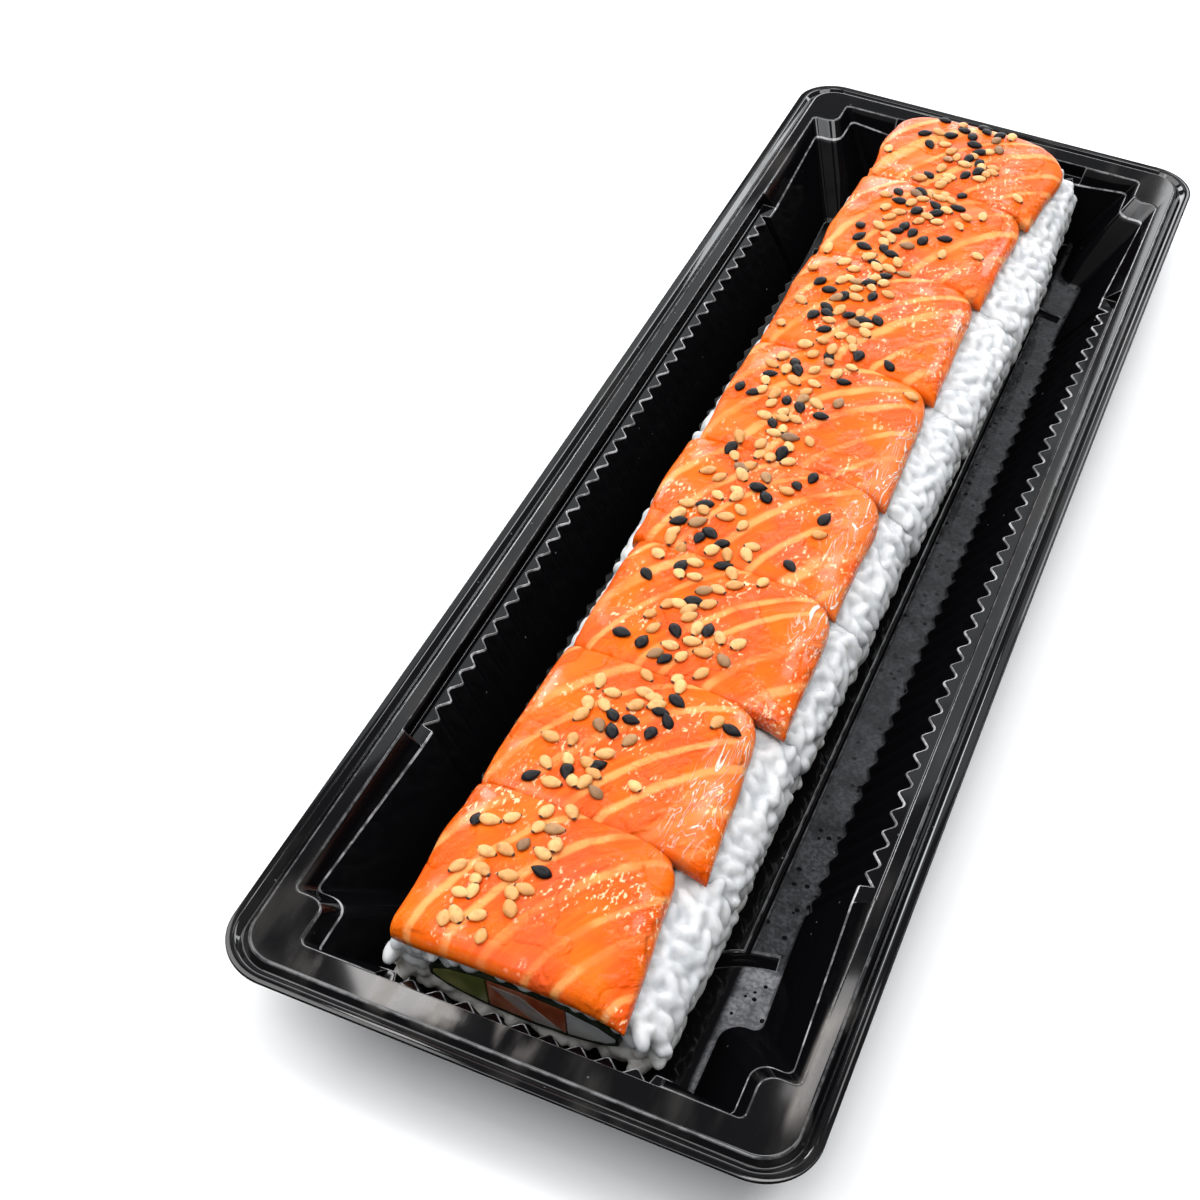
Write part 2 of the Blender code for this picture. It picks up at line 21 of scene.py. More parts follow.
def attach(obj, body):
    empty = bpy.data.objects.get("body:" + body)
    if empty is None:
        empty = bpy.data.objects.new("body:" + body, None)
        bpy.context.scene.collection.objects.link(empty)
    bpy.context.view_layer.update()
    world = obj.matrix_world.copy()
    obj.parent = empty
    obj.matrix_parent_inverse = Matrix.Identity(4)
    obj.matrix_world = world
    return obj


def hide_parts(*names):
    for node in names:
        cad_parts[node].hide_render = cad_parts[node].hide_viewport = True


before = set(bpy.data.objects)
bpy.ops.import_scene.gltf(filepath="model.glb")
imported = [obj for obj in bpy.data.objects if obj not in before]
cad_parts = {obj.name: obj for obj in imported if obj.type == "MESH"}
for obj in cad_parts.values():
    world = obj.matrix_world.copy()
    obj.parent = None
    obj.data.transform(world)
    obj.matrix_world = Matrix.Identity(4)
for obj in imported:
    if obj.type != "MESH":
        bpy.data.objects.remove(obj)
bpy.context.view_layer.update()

MM = 0.001
print("nodes in the packed model:", len(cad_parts))

# %% [markdown]
# ## The measures of the tray and the roll
#
# A scene that replaces a solid has to follow it closely, so the sizes that the
# solids were built from are repeated here, in millimetres. They could be read
# back from the meshes, but named numbers tell a reader what each one means.

# %% Measures of the tray
TRAY_WIDTH, TRAY_LENGTH, SHEET = 90.0, 270.0, 0.6
CHANNEL_Z, FLOOR_Z, LEDGE_Z = 0.6, 1.1, 13.6
GROOVE_Z, LIP_Z, RIM_Z = 15.2, 16.1, 16.4
LIP_WIDTH, GROOVE_WIDTH, CORNER_RADIUS = 1.3, 2.2, 9.0
SIDE_BOW = 0.6
OPENING_X, OPENING_Y = 39.2, 126.9
FOOT_X, FOOT_Y = 29.2, 118.9
PAD_CORNER, PAD_RADIUS, PAD_FILLET = (33.8, 119.0), 2.6, 1.0
BUTTRESS_CORNER, BUTTRESS_RADIUS, BUTTRESS_FILLET = (23.7, 103.0), 3.6, 1.5
BAND_DRAFT = 0.25
RIB_PITCH, LONG_RIBS, SHORT_RIBS = 4.33, 18, 4
END_RIB_START, LONG_END_RIB, SHORT_END_RIB = 0.5, 3.6, 1.4
LEDGE_RIB_DEPTH, FOOT_RIB_DEPTH, RIB_ROUND = 2.0, 1.0, 0.55
LONG_TIP_REACH, SHORT_TIP_REACH, FOOT_TIP_REACH = 1.4, 1.7, 0.7
CHANNEL_X, CHANNEL_WIDTH, CHANNEL_DRAFT = 22.85, 1.1, 0.22
RING_CENTRE, RING_OUTER, RING_INNER = (30.0, 110.0), 21.0, 18.2
RING_START, RING_END = -96.0, -192.0
RIM_SEGMENTS, FILLET_SEGMENTS, PAD_SEGMENTS, RING_SEGMENTS = 16, 4, 9, 24
print("tray:", TRAY_WIDTH, "by", TRAY_LENGTH, "mm, sheet", SHEET, "mm")

# %% Measures of the roll and its slices
CUTS = (-121.3, -92.0, -60.2, -32.0, -2.5, 29.7, 63.0, 95.0, 122.3)
CUT_GAP = 0.6
RICE_BOTTOM, RICE_TOP = FLOOR_Z + 0.3, LIP_Z + 2.6
RICE_MIDDLE = (RICE_TOP + RICE_BOTTOM) / 2
PIECE_WIDTHS = (44.5, 45.0, 45.4, 46.8, 47.2, 47.4, 47.4, 44.8)
PIECE_SHIFTS = (-1.9, -2.1, -1.5, -1.8, -1.1, -0.2, 0.3, 0.3)
PIECE_SKEWS = (0.020, -0.012, 0.016, -0.010, 0.014, 0.012, -0.014, -0.020)
PIECES = len(PIECE_WIDTHS)
NEAR_LEAN, FAR_LEAN = 3.6, 4.6
RICE_POWER = 3.4
OVAL_WIDTH, OVAL_HEIGHT, HOLE_GAP = 30.5, 10.6, 0.3
SLICE_RIGHTS = (
    (14.4, 11.6), (15.8, 12.8), (16.7, 16.0), (15.9, 15.4),
    (15.2, 14.4), (15.0, 14.2), (14.8, 15.6), (16.8, 18.6),
)
SLICE_THICKNESS, SLICE_CLEAR = 3.4, 0.45
SLICE_SLANT, SLICE_SLANT_X = 0.6, 20.0
SEAM_REACH, NEAR_OVERHANG, FAR_OVERHANG = 3.2, 0.8, 2.0
RIGHT_CORNER, LEFT_CORNER = 0.7, 0.2
TIP_REACH, NEAR_ROUND, LEFT_ROUND, FAR_ROUND, END_ROUND = 0.7, 1.4, 0.6, 2.4, 3.0
print("roll:", PIECES, "pieces, from", CUTS[0], "to", CUTS[-1], "mm")

# %% [markdown]
# ## Helpers for meshes
#
# Every piece here is built in mesh code. A list of points and faces could be
# typed into Blender by hand, but a small function that turns them into an
# object keeps the units, the smooth shading, the parenting and the hiding of
# replaced solids in one place.

# %% From points and faces to a piece
def new_object(name, mesh, material):
    """Link an object to the scene with one material and smooth shading."""
    mesh.materials.append(material)
    mesh.polygons.foreach_set("use_smooth", [True] * len(mesh.polygons))
    obj = bpy.data.objects.new(name, mesh)
    bpy.context.scene.collection.objects.link(obj)
    return obj


def add_piece(name, verts, faces, material, replaced=(), attributes=None):
    """Make a piece from points in millimetres and hide the solids it replaces."""
    mesh = bpy.data.meshes.new(name)
    mesh.from_pydata([(x * MM, y * MM, z * MM) for x, y, z in verts], [], faces)
    for label, values in (attributes or {}).items():
        layer = mesh.attributes.new(label, "FLOAT", "POINT")
        layer.data.foreach_set("value", values)
    mesh.update()
    obj = new_object(name, mesh, material)
    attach(obj, "root")
    if replaced:
        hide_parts(*replaced)
    return obj


def lerp(a, b, t):
    """The number that is the share t of the way from a to b."""
    return a + (b - a) * t


def smooth_step(low, high, value):
    """0 below low, 1 above high and an even S-shaped change between them."""
    t = min(1.0, max(0.0, (value - low) / (high - low)))
    return t * t * (3.0 - 2.0 * t)


def soft_noise(x, y, z=0.0):
    """Blender's own smooth noise, from about -1 to 1."""
    return noise.noise(Vector((x, y, z)))


print("helpers: add_piece, lerp, smooth_step, soft_noise")

# %% [markdown]
# ## Helpers for materials
#
# A procedural material is a small graph: noise goes in, a colour or a height
# comes out. Wiring each node by hand takes many lines, so short helpers do it:
# one makes any node, and the rest make a sum, a product, a blend of two colours
# or a soft step.

# %% Make and wire shader nodes
def add_node(tree, kind, inputs=None, **settings):
    """Add a node, set its options, and fill or link its inputs."""
    node = tree.nodes.new(kind)
    for label, value in settings.items():
        setattr(node, label, value)
    for label, value in (inputs or {}).items():
        if isinstance(value, bpy.types.NodeSocket):
            tree.links.new(value, node.inputs[label])
        else:
            node.inputs[label].default_value = value
    return node


def calculate(tree, operation, a, b=0.0, c=0.0):
    """One Math node; a, b and c are numbers or sockets."""
    return add_node(tree, "ShaderNodeMath", {0: a, 1: b, 2: c}, operation=operation).outputs[0]


def blend(tree, factor, a, b):
    """Mix two colours by a mask; a colour is a socket or three numbers."""
    a, b = ((*colour, 1.0) if isinstance(colour, tuple) else colour for colour in (a, b))
    colours = {0: factor, 6: a, 7: b}
    return add_node(tree, "ShaderNodeMix", colours, data_type="RGBA").outputs[2]


def rise(tree, value, low, high, start=0.0, end=1.0):
    """A soft change from start to end while the value goes from low to high."""
    numbers = {0: value, 1: low, 2: high, 3: start, 4: end}
    return add_node(tree, "ShaderNodeMapRange", numbers, interpolation_type="SMOOTHSTEP").outputs[0]


def weigh(tree, mask, start, end):
    """A number that goes from start to end while a mask goes from 0 to 1."""
    return rise(tree, mask, 0.0, 1.0, start, end)


def multiply(tree, a, b):
    """The product of two masks."""
    return calculate(tree, "MULTIPLY", a, b)


def plus(tree, a, b):
    """The sum of two masks."""
    return calculate(tree, "ADD", a, b)


print("helpers: add_node, calculate, blend, rise, weigh, multiply, plus")

# %% Read a place and bend a normal
def split(tree, vector):
    """The X, Y and Z of a vector."""
    return add_node(tree, "ShaderNodeSeparateXYZ", {0: vector}).outputs


def stretched(tree, place, along, across=1.0):
    """Squeeze the texture space along Y, so that patches become streaks."""
    return add_node(
        tree, "ShaderNodeMapping", {"Vector": place, "Scale": (across, along, 1.0)}).outputs[0]


def noise_field(tree, place, scale, detail, distortion=0.0):
    """Plain noise, from 0 to 1."""
    numbers = {"Vector": place, "Scale": scale, "Detail": detail, "Distortion": distortion}
    return add_node(tree, "ShaderNodeTexNoise", numbers).outputs[0]


def read_mask(tree, name):
    """A mask that is stored on the points of the mesh."""
    return add_node(tree, "ShaderNodeAttribute", attribute_name=name).outputs["Fac"]


def bend_normal(tree, shader, height, strength, distance):
    """Let a height bend the shader's normal, as fine relief does."""
    bump = add_node(tree, "ShaderNodeBump", {"Strength": strength, "Distance": distance, "Height": height})
    tree.links.new(bump.outputs[0], shader.inputs["Normal"])


def new_material(name, **values):
    """A material with its constants on the Principled shader's own sockets."""
    material = bpy.data.materials.new(name)
    material.use_nodes = True
    shader = material.node_tree.nodes["Principled BSDF"]
    for label, value in values.items():
        shader.inputs[label.replace("_", " ")].default_value = value
    return material, material.node_tree, shader


def place_in_space(tree):
    """The point on the object, in metres, as its texture coordinate."""
    return tree.nodes.new("ShaderNodeTexCoord").outputs["Object"]


print("helpers: split, stretched, noise_field, read_mask, bend_normal, new_material")

# %% [markdown]
# ## Effects that several materials share
#
# Cloudy patches, fine dots and a wet, wrinkled surface show up on the plastic,
# the rice, the fish and the seeds alike. A shader group is like a function: it
# is made once and each material gives it its own scale and strength.

# %% Three shader groups
WRINKLE_SCALE, WRINKLE_SWIRL = 3.1, 1.2


def new_group(name, output, **inputs):
    """A node group with one output. An input without a default is a place, so a vector."""
    group = bpy.data.node_groups.new(name, "ShaderNodeTree")
    for label, value in inputs.items():
        kind = "NodeSocketVector" if value is None else "NodeSocketFloat"
        socket = group.interface.new_socket(name=label, in_out="INPUT", socket_type=kind)
        if value is not None:
            socket.default_value = value
    group.interface.new_socket(name=output, in_out="OUTPUT", socket_type="NodeSocketFloat")
    given, result = group.nodes.new("NodeGroupInput"), group.nodes.new("NodeGroupOutput")
    return group, given.outputs, result.inputs


def make_cloud_group():
    """Soft patches: noise between two thresholds."""
    group, given, result = new_group(
        "soft_clouds", "Mask", Place=None, Scale=100.0, Detail=3.0, Low=0.4, High=0.6)
    cloud = noise_field(group, given["Place"], given["Scale"], given["Detail"])
    group.links.new(rise(group, cloud, given["Low"], given["High"]), result["Mask"])
    return group


def make_dot_group():
    """Fine dots: the middle of some of a Voronoi texture's cells."""
    group, given, result = new_group("fine_dots", "Mask", Place=None, Scale=500.0, Size=0.2, Share=0.5)
    cells = add_node(
        group, "ShaderNodeTexVoronoi", {"Vector": given["Place"], "Scale": given["Scale"]}).outputs
    near = calculate(group, "LESS_THAN", cells["Distance"], given["Size"])
    chance = add_node(group, "ShaderNodeSeparateColor", {"Color": cells["Color"]}).outputs[0]
    chosen = calculate(group, "LESS_THAN", chance, given["Share"])
    group.links.new(multiply(group, near, chosen), result["Mask"])
    return group


def make_wet_group():
    """A wet skin: broad ripples with finer wrinkles on them."""
    group, given, result = new_group("wet_skin", "Height", Place=None, Scale=300.0, Wrinkles=0.5)
    broad = noise_field(group, given["Place"], given["Scale"], 2.0)
    finer = multiply(group, given["Scale"], WRINKLE_SCALE)
    fine = noise_field(group, given["Place"], finer, 2.0, WRINKLE_SWIRL)
    wrinkles = multiply(group, fine, given["Wrinkles"])
    group.links.new(plus(group, broad, wrinkles), result["Height"])
    return group


def use_group(tree, group, **values):
    """Place a shared effect in a material and return its one output."""
    return add_node(tree, "ShaderNodeGroup", values, node_tree=group).outputs[0]


SOFT_CLOUDS, FINE_DOTS, WET_SKIN = make_cloud_group(), make_dot_group(), make_wet_group()
print("shader groups:", SOFT_CLOUDS.name, FINE_DOTS.name, WET_SKIN.name)

# %% [markdown]
# ## The black plastic
#
# The sheet is glossy black polystyrene. It looks black because it mirrors a
# dark room, so its base is almost black and its shine is in a clear coat, whose
# weight a mask can drive: flange, ledge and floor shine, and the steep walls,
# which mirror only each other, stay dark.
#
# Pale patches on the flange are partly rubbed by handling and partly a painted
# reflection of the lamps, the rounded edges carry painted highlights, and cold
# food leaves a grey mist with clear drops on the floor at the right. Each of
# them is a mask that follows a place, given in millimetres.

# %% Masks that follow a place
FLANGE_START, FLANGE_FULL = 15.0, 15.8
# Pale flange patches, in millimetres: partly rubbing, partly a painted reflection of the lamps.
NEAR_PALE_X, NEAR_PALE_Y = (-30.0, 2.0, 6.0), (-131.2, -126.6, 1.2)
RIGHT_PALE_X, RIGHT_PALE_Y = (38.8, 42.5, 0.6), (-124.0, -104.0, 4.0)
RUBBED_ANYWHERE = 0.10
MIST_START_X, MIST_FULL_X = 22.6, 24.0
# Heights of the edges that get painted highlights, and the slopes where the highlights show.
RIM_EDGE, LEDGE_EDGE, CHANNEL_EDGE = (16.12, 16.38, 0.04), (13.30, 13.62, 0.04), (0.78, 1.07, 0.03)
FAINT_EDGE, HIGHLIGHT_SLOPES = 0.3, (0.35, 0.95, 0.03)


def within(tree, value, low, high, edge):
    """A mask that is 1 between two numbers, with soft edges."""
    up = rise(tree, value, low - edge, low + edge)
    down = rise(tree, value, high - edge, high + edge, 1.0, 0.0)
    return multiply(tree, up, down)


def zone(tree, value, band):
    """The same for a band of millimetres: from, to and softness."""
    return within(tree, value, *(number * MM for number in band))


def rubbed_and_reflection_mask(tree, place, streaks):
    """Pale patches at the near end and the near right of the flange: partly rubbed by fingers, partly a
    painted reflection of the lamps.
    """
    x, y, z = split(tree, place)
    near_end = multiply(tree, zone(tree, y, NEAR_PALE_Y), zone(tree, x, NEAR_PALE_X))
    right_side = multiply(tree, zone(tree, x, RIGHT_PALE_X), zone(tree, y, RIGHT_PALE_Y))
    pale_places = plus(tree, plus(tree, near_end, right_side), RUBBED_ANYWHERE)
    high = rise(tree, z, FLANGE_START * MM, FLANGE_FULL * MM)
    return multiply(tree, multiply(tree, streaks, pale_places), high)


def mist_mask(tree, place, floor):
    """Uneven mist on the floor at the right, with clear drops in it."""
    cloud = use_group(tree, SOFT_CLOUDS, Place=place, Scale=260.0, Detail=5.0, Low=0.36, High=0.62)
    fine = use_group(tree, SOFT_CLOUDS, Place=place, Scale=1500.0, Detail=3.0, Low=0.38, High=0.64)
    drops = use_group(tree, FINE_DOTS, Place=place, Scale=500.0, Size=0.22, Share=0.80)
    right = rise(tree, split(tree, place)[0], MIST_START_X * MM, MIST_FULL_X * MM)
    uneven = multiply(tree, weigh(tree, cloud, 0.55, 1.0), weigh(tree, fine, 0.55, 1.0))
    clear = calculate(tree, "SUBTRACT", 1.0, drops)
    return multiply(tree, multiply(tree, floor, right), multiply(tree, uneven, clear))


def painted_edge_highlights(tree, place, slope):
    """Painted highlights along the rounded edges of the rim, the ledge and the channel, in uneven beads."""
    z = split(tree, place)[2]
    faint = multiply(tree, plus(tree, zone(tree, z, RIM_EDGE), zone(tree, z, CHANNEL_EDGE)), FAINT_EDGE)
    edges = plus(tree, faint, zone(tree, z, LEDGE_EDGE))
    edges = multiply(tree, edges, within(tree, slope, *HIGHLIGHT_SLOPES))
    beads = use_group(tree, SOFT_CLOUDS, Place=place, Scale=400.0, Detail=4.0, Low=0.38, High=0.66)
    return multiply(tree, edges, weigh(tree, beads, 0.25, 1.0))


print("masks: rubbed_and_reflection_mask, mist_mask, painted_edge_highlights")

# %% Material of the tray
FLOOR_BAND, CORNER_MIST_Y = (0.9, 1.7, 0.2), (-93.5, -91.5)
GLOSS_START, GLOSS_FULL = 12.8, 13.8
STEEP, FLAT = 0.60, 0.82


def make_plastic():
    """Glossy black with pale flange patches, partly rubbed and partly a painted reflection, painted edge
    highlights and mist on the floor.
    """
    material, tree, shader = new_material(
        "black_plastic_gloss", Specular_IOR_Level=0.0, Coat_Roughness=0.05, Coat_IOR=1.5)
    place = place_in_space(tree)
    y, z = split(tree, place)[1:3]
    slope = split(tree, tree.nodes.new("ShaderNodeNewGeometry").outputs["Normal"])[2]
    flat, floor = rise(tree, slope, STEEP, FLAT), zone(tree, z, FLOOR_BAND)
    streaks = use_group(
        tree, SOFT_CLOUDS, Place=stretched(tree, place, 0.3), Scale=120.0, Detail=6.0, Low=0.50, High=0.74)
    haze = use_group(tree, SOFT_CLOUDS, Place=place, Scale=55.0, Detail=5.0, Low=0.30, High=0.75)
    dust = use_group(tree, FINE_DOTS, Place=place, Scale=420.0, Size=0.07, Share=0.12)
    rubbed_and_reflection, mist = rubbed_and_reflection_mask(tree, place, streaks), mist_mask(tree, place, floor)
    corner = rise(tree, y, CORNER_MIST_Y[0] * MM, CORNER_MIST_Y[1] * MM, 1.0, 0.0)

    # Pale patches: partly rubbed plastic, partly a painted reflection of the lamps on the flange.
    colour = blend(tree, rubbed_and_reflection, (0.0020, 0.0018, 0.0022), (0.22, 0.205, 0.19))
    colour = blend(tree, mist, colour, (0.046, 0.047, 0.050))
    colour = blend(tree, multiply(tree, corner, mist), colour, (0.20, 0.20, 0.21))
    # Painted highlights: pale grey lines along the rounded edges of the rim, the ledge and the channel.
    colour = blend(tree, painted_edge_highlights(tree, place, slope), colour, (0.36, 0.36, 0.37))
    colour = blend(tree, multiply(tree, dust, 0.35), colour, (0.25, 0.25, 0.26))
    tree.links.new(colour, shader.inputs["Base Color"])

    rough = plus(tree, weigh(tree, haze, 0.05, 0.12), weigh(tree, flat, 0.45, 0.0))
    rough = plus(tree, rough, multiply(tree, rubbed_and_reflection, 0.35))
    tree.links.new(plus(tree, rough, multiply(tree, mist, 0.40)), shader.inputs["Roughness"])

    floor_gloss = multiply(tree, floor, calculate(tree, "SUBTRACT", 0.50, multiply(tree, mist, 0.30)))
    gloss = calculate(tree, "MAXIMUM", rise(tree, z, GLOSS_START * MM, GLOSS_FULL * MM), floor_gloss)
    gloss = multiply(tree, multiply(tree, gloss, flat), weigh(tree, streaks, 1.0, 0.6))
    gloss = plus(tree, gloss, weigh(tree, haze, 0.03, 0.06))
    gloss = calculate(tree, "SUBTRACT", gloss, multiply(tree, rubbed_and_reflection, 0.7))
    tree.links.new(add_node(tree, "ShaderNodeClamp", {0: gloss}).outputs[0], shader.inputs["Coat Weight"])
    waves = use_group(tree, WET_SKIN, Place=place, Scale=70.0, Wrinkles=0.10)
    bend_normal(tree, shader, waves, 0.25, 0.0004)
    return material


plastic = make_plastic()
print("material:", plastic.name)

# %% [markdown]
# ## The tray
#
# A hot sheet is sucked into a mould, so every edge of the real tray is rounded
# and the sheet has one thickness throughout. The way to model that is to draw
# the upper face of one quarter as bands between paths, mirror it twice, round
# its edges with a bevel and give it a thickness at the end.

# %% Paths round a quarter of the tray
BOW_SHARES = (0.0, 0.15, 0.3, 0.45, 0.6, 0.75)
MITRE_LIMIT = 0.4


def arc(centre, radius, start, end, segments):
    """Points on an arc, with the angles in degrees."""
    angles = [math.radians(lerp(start, end, i / segments)) for i in range(segments + 1)]
    return [(centre[0] + radius * math.cos(a), centre[1] + radius * math.sin(a)) for a in angles]


def bowed(x, y):
    """The long sides of the soft tray are drawn in a little at the middle."""
    draw_in = SIDE_BOW * (1.0 - (y / (TRAY_LENGTH / 2)) ** 2)
    return x * (1.0 - draw_in / (TRAY_WIDTH / 2))


def rim_path(inset):
    """A quarter of a rounded rectangle, with spare points on the long side for the bow."""
    half_x, half_y = TRAY_WIDTH / 2 - inset, TRAY_LENGTH / 2 - inset
    radius = CORNER_RADIUS - inset
    side = [(half_x, half_y * share) for share in BOW_SHARES]
    corner = arc((half_x - radius, half_y - radius), radius, 0.0, 90.0, RIM_SEGMENTS)
    return side + corner + [(0.0, half_y)]


def corner_path(line_x, line_y, corner, radius, fillet):
    """The way round a corner pad, from the long wall to the short wall."""
    path = arc((line_x - fillet, corner[1] - fillet), fillet, 0.0, 90.0, FILLET_SEGMENTS)
    path += arc((corner[0] + radius, corner[1] + radius), radius, -90.0, -180.0, PAD_SEGMENTS)
    path += arc((corner[0] - fillet, line_y - fillet), fillet, 0.0, 90.0, FILLET_SEGMENTS)
    return path


print("rim path:", len(rim_path(0.0)), "points")

# %% Rows of ribs and the drain channel
def rounded_row(row):
    """Cut every tip and valley of a zigzag with three points in place of one."""
    points = []
    for before, here, after in zip(row, row[1:], row[2:] + [row[-1]]):
        back, ahead = Vector(before) - Vector(here), Vector(after) - Vector(here)
        near = Vector(here) + back.normalized() * RIB_ROUND
        far = Vector(here) + ahead.normalized() * RIB_ROUND
        middle = (near + far) / 4 + Vector(here) / 2
        points += [tuple(near), tuple(middle), tuple(far)]
    return points[1:]


def rib_row(count, tip, depth, end_rib):
    """Half a row of ribs as (along, across) points, ending with a flat rib."""
    row = []
    for k in range(count + 1):
        row += [(k * RIB_PITCH, tip), ((k + 0.5) * RIB_PITCH, tip + depth)]
    flat_start = (count + 0.5) * RIB_PITCH + END_RIB_START
    ends = [(flat_start, tip), (flat_start + end_rib, tip)]
    return rounded_row([(-row[1][0], row[1][1])] + row) + ends


def wall_path(long_tip, short_tip, depth, corner):
    """One level of the ribbed walls. Returns the path and its two row lengths."""
    long_row = [(x, y) for y, x in rib_row(LONG_RIBS, long_tip, depth, LONG_END_RIB)]
    short_row = rib_row(SHORT_RIBS, short_tip, depth, SHORT_END_RIB)[::-1]
    return long_row + corner + short_row, len(long_row), len(short_row)


def channel_outline():
    """The drain channel's outline in one quarter: a straight run into a corner ring."""
    left, right = CHANNEL_X - CHANNEL_WIDTH / 2, CHANNEL_X + CHANNEL_WIDTH / 2
    left_angle = -math.degrees(math.acos((left - RING_CENTRE[0]) / RING_OUTER))
    right_angle = -math.degrees(math.acos((right - RING_CENTRE[0]) / RING_OUTER))
    path = [(left, 0.0)]
    path += arc(RING_CENTRE, RING_OUTER, left_angle, RING_END, RING_SEGMENTS)
    path += arc(RING_CENTRE, RING_INNER, RING_END, RING_START, RING_SEGMENTS)
    path += arc(RING_CENTRE, RING_OUTER, RING_START, right_angle, 1)
    return path + [(right, 0.0)]


def inset_path(path, distance):
    """Move an open path sideways to its right-hand side, with mitred corners."""
    moved = []
    for i, point in enumerate(path):
        here = Vector(point)
        steps = (here - Vector(path[max(i - 1, 0)]), Vector(path[min(i + 1, len(path) - 1)]) - here)
        sides = [Vector((step.y, -step.x)).normalized() for step in steps if step.length > 0.0]
        side = sum(sides, Vector((0.0, 0.0))).normalized()
        moved.append(tuple(here + side * distance / max(side.dot(sides[0]), MITRE_LIMIT)))
    return moved


print("channel:", len(channel_outline()), "points")

# %% [markdown]
# The quarter is then a matter of joining neighbouring paths with bands of
# faces. The rim and the floor are single flat faces with many corners, which
# the bevel can handle as long as they stay flat.

# %% The upper face of a quarter
def add_path(bm, path, z):
    """Put the points of a path into a mesh at one height."""
    return [bm.verts.new((bowed(x, y), y, z)) for x, y in path]


def bridge(bm, outer, inner):
    """Join two open paths of equal count with a band of faces."""
    for i in range(len(outer) - 1):
        bm.faces.new((outer[i], outer[i + 1], inner[i + 1], inner[i]))


def add_rim(bm):
    """The lip, the groove and the inner edge of the groove, from outside in."""
    insets = (0.0, LIP_WIDTH, LIP_WIDTH + GROOVE_WIDTH / 2, LIP_WIDTH + GROOVE_WIDTH)
    levels = [add_path(bm, rim_path(inset), z) for inset, z in zip(insets, (LIP_Z, LIP_Z, GROOVE_Z, RIM_Z))]
    for outer, inner in zip(levels, levels[1:]):
        bridge(bm, outer, inner)
    return levels[-1]


def add_walls(bm, top):
    """The band over the ledge, the ledge with its ribs and the sloped ribbed wall."""
    drop = (RIM_Z - LEDGE_Z) / (RIM_Z - FLOOR_Z)
    rim_corner = corner_path(OPENING_X, OPENING_Y, PAD_CORNER, PAD_RADIUS, PAD_FILLET)
    foot_corner = corner_path(FOOT_X, FOOT_Y, BUTTRESS_CORNER, BUTTRESS_RADIUS, BUTTRESS_FILLET)
    ledge_corner = [
        (lerp(a[0], b[0], drop), lerp(a[1], b[1], drop)) for a, b in zip(rim_corner, foot_corner)]
    ledge_x = lerp(OPENING_X, FOOT_X, drop) - LONG_TIP_REACH
    ledge_y = lerp(OPENING_Y, FOOT_Y, drop) - SHORT_TIP_REACH
    ledge_path, long_count, short_count = wall_path(ledge_x, ledge_y, LEDGE_RIB_DEPTH, ledge_corner)
    foot_path = wall_path(FOOT_X - FOOT_TIP_REACH, FOOT_Y - FOOT_TIP_REACH, FOOT_RIB_DEPTH, foot_corner)[0]
    ledge, foot = add_path(bm, ledge_path, LEDGE_Z), add_path(bm, foot_path, FLOOR_Z)
    bridge(bm, ledge, foot)

    long_end, short_end = ledge_path[long_count - 1][1], ledge_path[-short_count][0]
    long_marks, short_marks = (0.0, long_end * 0.5, long_end), (short_end, 0.0)
    edge_path = [(OPENING_X, y) for y in (*long_marks, long_end + END_RIB_START)]
    edge_path += rim_corner + [(x, OPENING_Y) for x in (short_end + END_RIB_START, *short_marks)]
    edge = add_path(bm, edge_path, RIM_Z)
    long_band = add_path(bm, [(OPENING_X - BAND_DRAFT, y) for y in long_marks], LEDGE_Z)
    short_band = add_path(bm, [(x, OPENING_Y - BAND_DRAFT) for x in short_marks], LEDGE_Z)
    shared = ledge[long_count - 1:len(ledge) - short_count + 1]
    bridge(bm, edge, long_band + shared + short_band)
    bm.faces.new(long_band + ledge[long_count - 1::-1])
    bm.faces.new(short_band + ledge[:-short_count - 1:-1])
    bm.faces.new(top + edge[::-1])
    return foot, long_count


def add_floor(bm, foot, long_count):
    """The floor round the drain channel, and the channel's own sides and bottom."""
    outline = channel_outline()
    channel_top = add_path(bm, outline, FLOOR_Z)
    channel_foot = add_path(bm, inset_path(outline, CHANNEL_DRAFT), CHANNEL_Z)
    centre = bm.verts.new((0.0, 0.0, FLOOR_Z))
    bridge(bm, channel_top, channel_foot)
    bm.faces.new(channel_foot)
    ring_end = 2 * RING_SEGMENTS + 3
    bm.faces.new(channel_top[ring_end:] + foot[:long_count])
    bm.faces.new([centre] + channel_top[:ring_end + 1] + foot[long_count - 1:])


quarter = bmesh.new()
add_floor(quarter, *add_walls(quarter, add_rim(quarter)))
quarter.normal_update()
bmesh.ops.recalc_face_normals(quarter, faces=quarter.faces)
if sum(face.normal.z * face.calc_area() for face in quarter.faces) < 0.0:
    bmesh.ops.reverse_faces(quarter, faces=quarter.faces)
print("tray quarter:", len(quarter.verts), "points,", len(quarter.faces), "faces")

# %% Mirror it, round the edges and give the sheet its thickness
EDGE_ROUND, EDGE_ANGLE = 0.28, 30.0
LIP_ROUND, LIP_ANGLE = 0.16, 62.0
MERGE_WITHIN = 0.01


def round_edges(obj, name, width, angle):
    """Round the edges that are sharper than an angle."""
    bevel = obj.modifiers.new(name, "BEVEL")
    bevel.width = width * MM
    bevel.segments = 2
    bevel.limit_method = "ANGLE"
    bevel.angle_limit = math.radians(angle)
    bevel.use_clamp_overlap = False


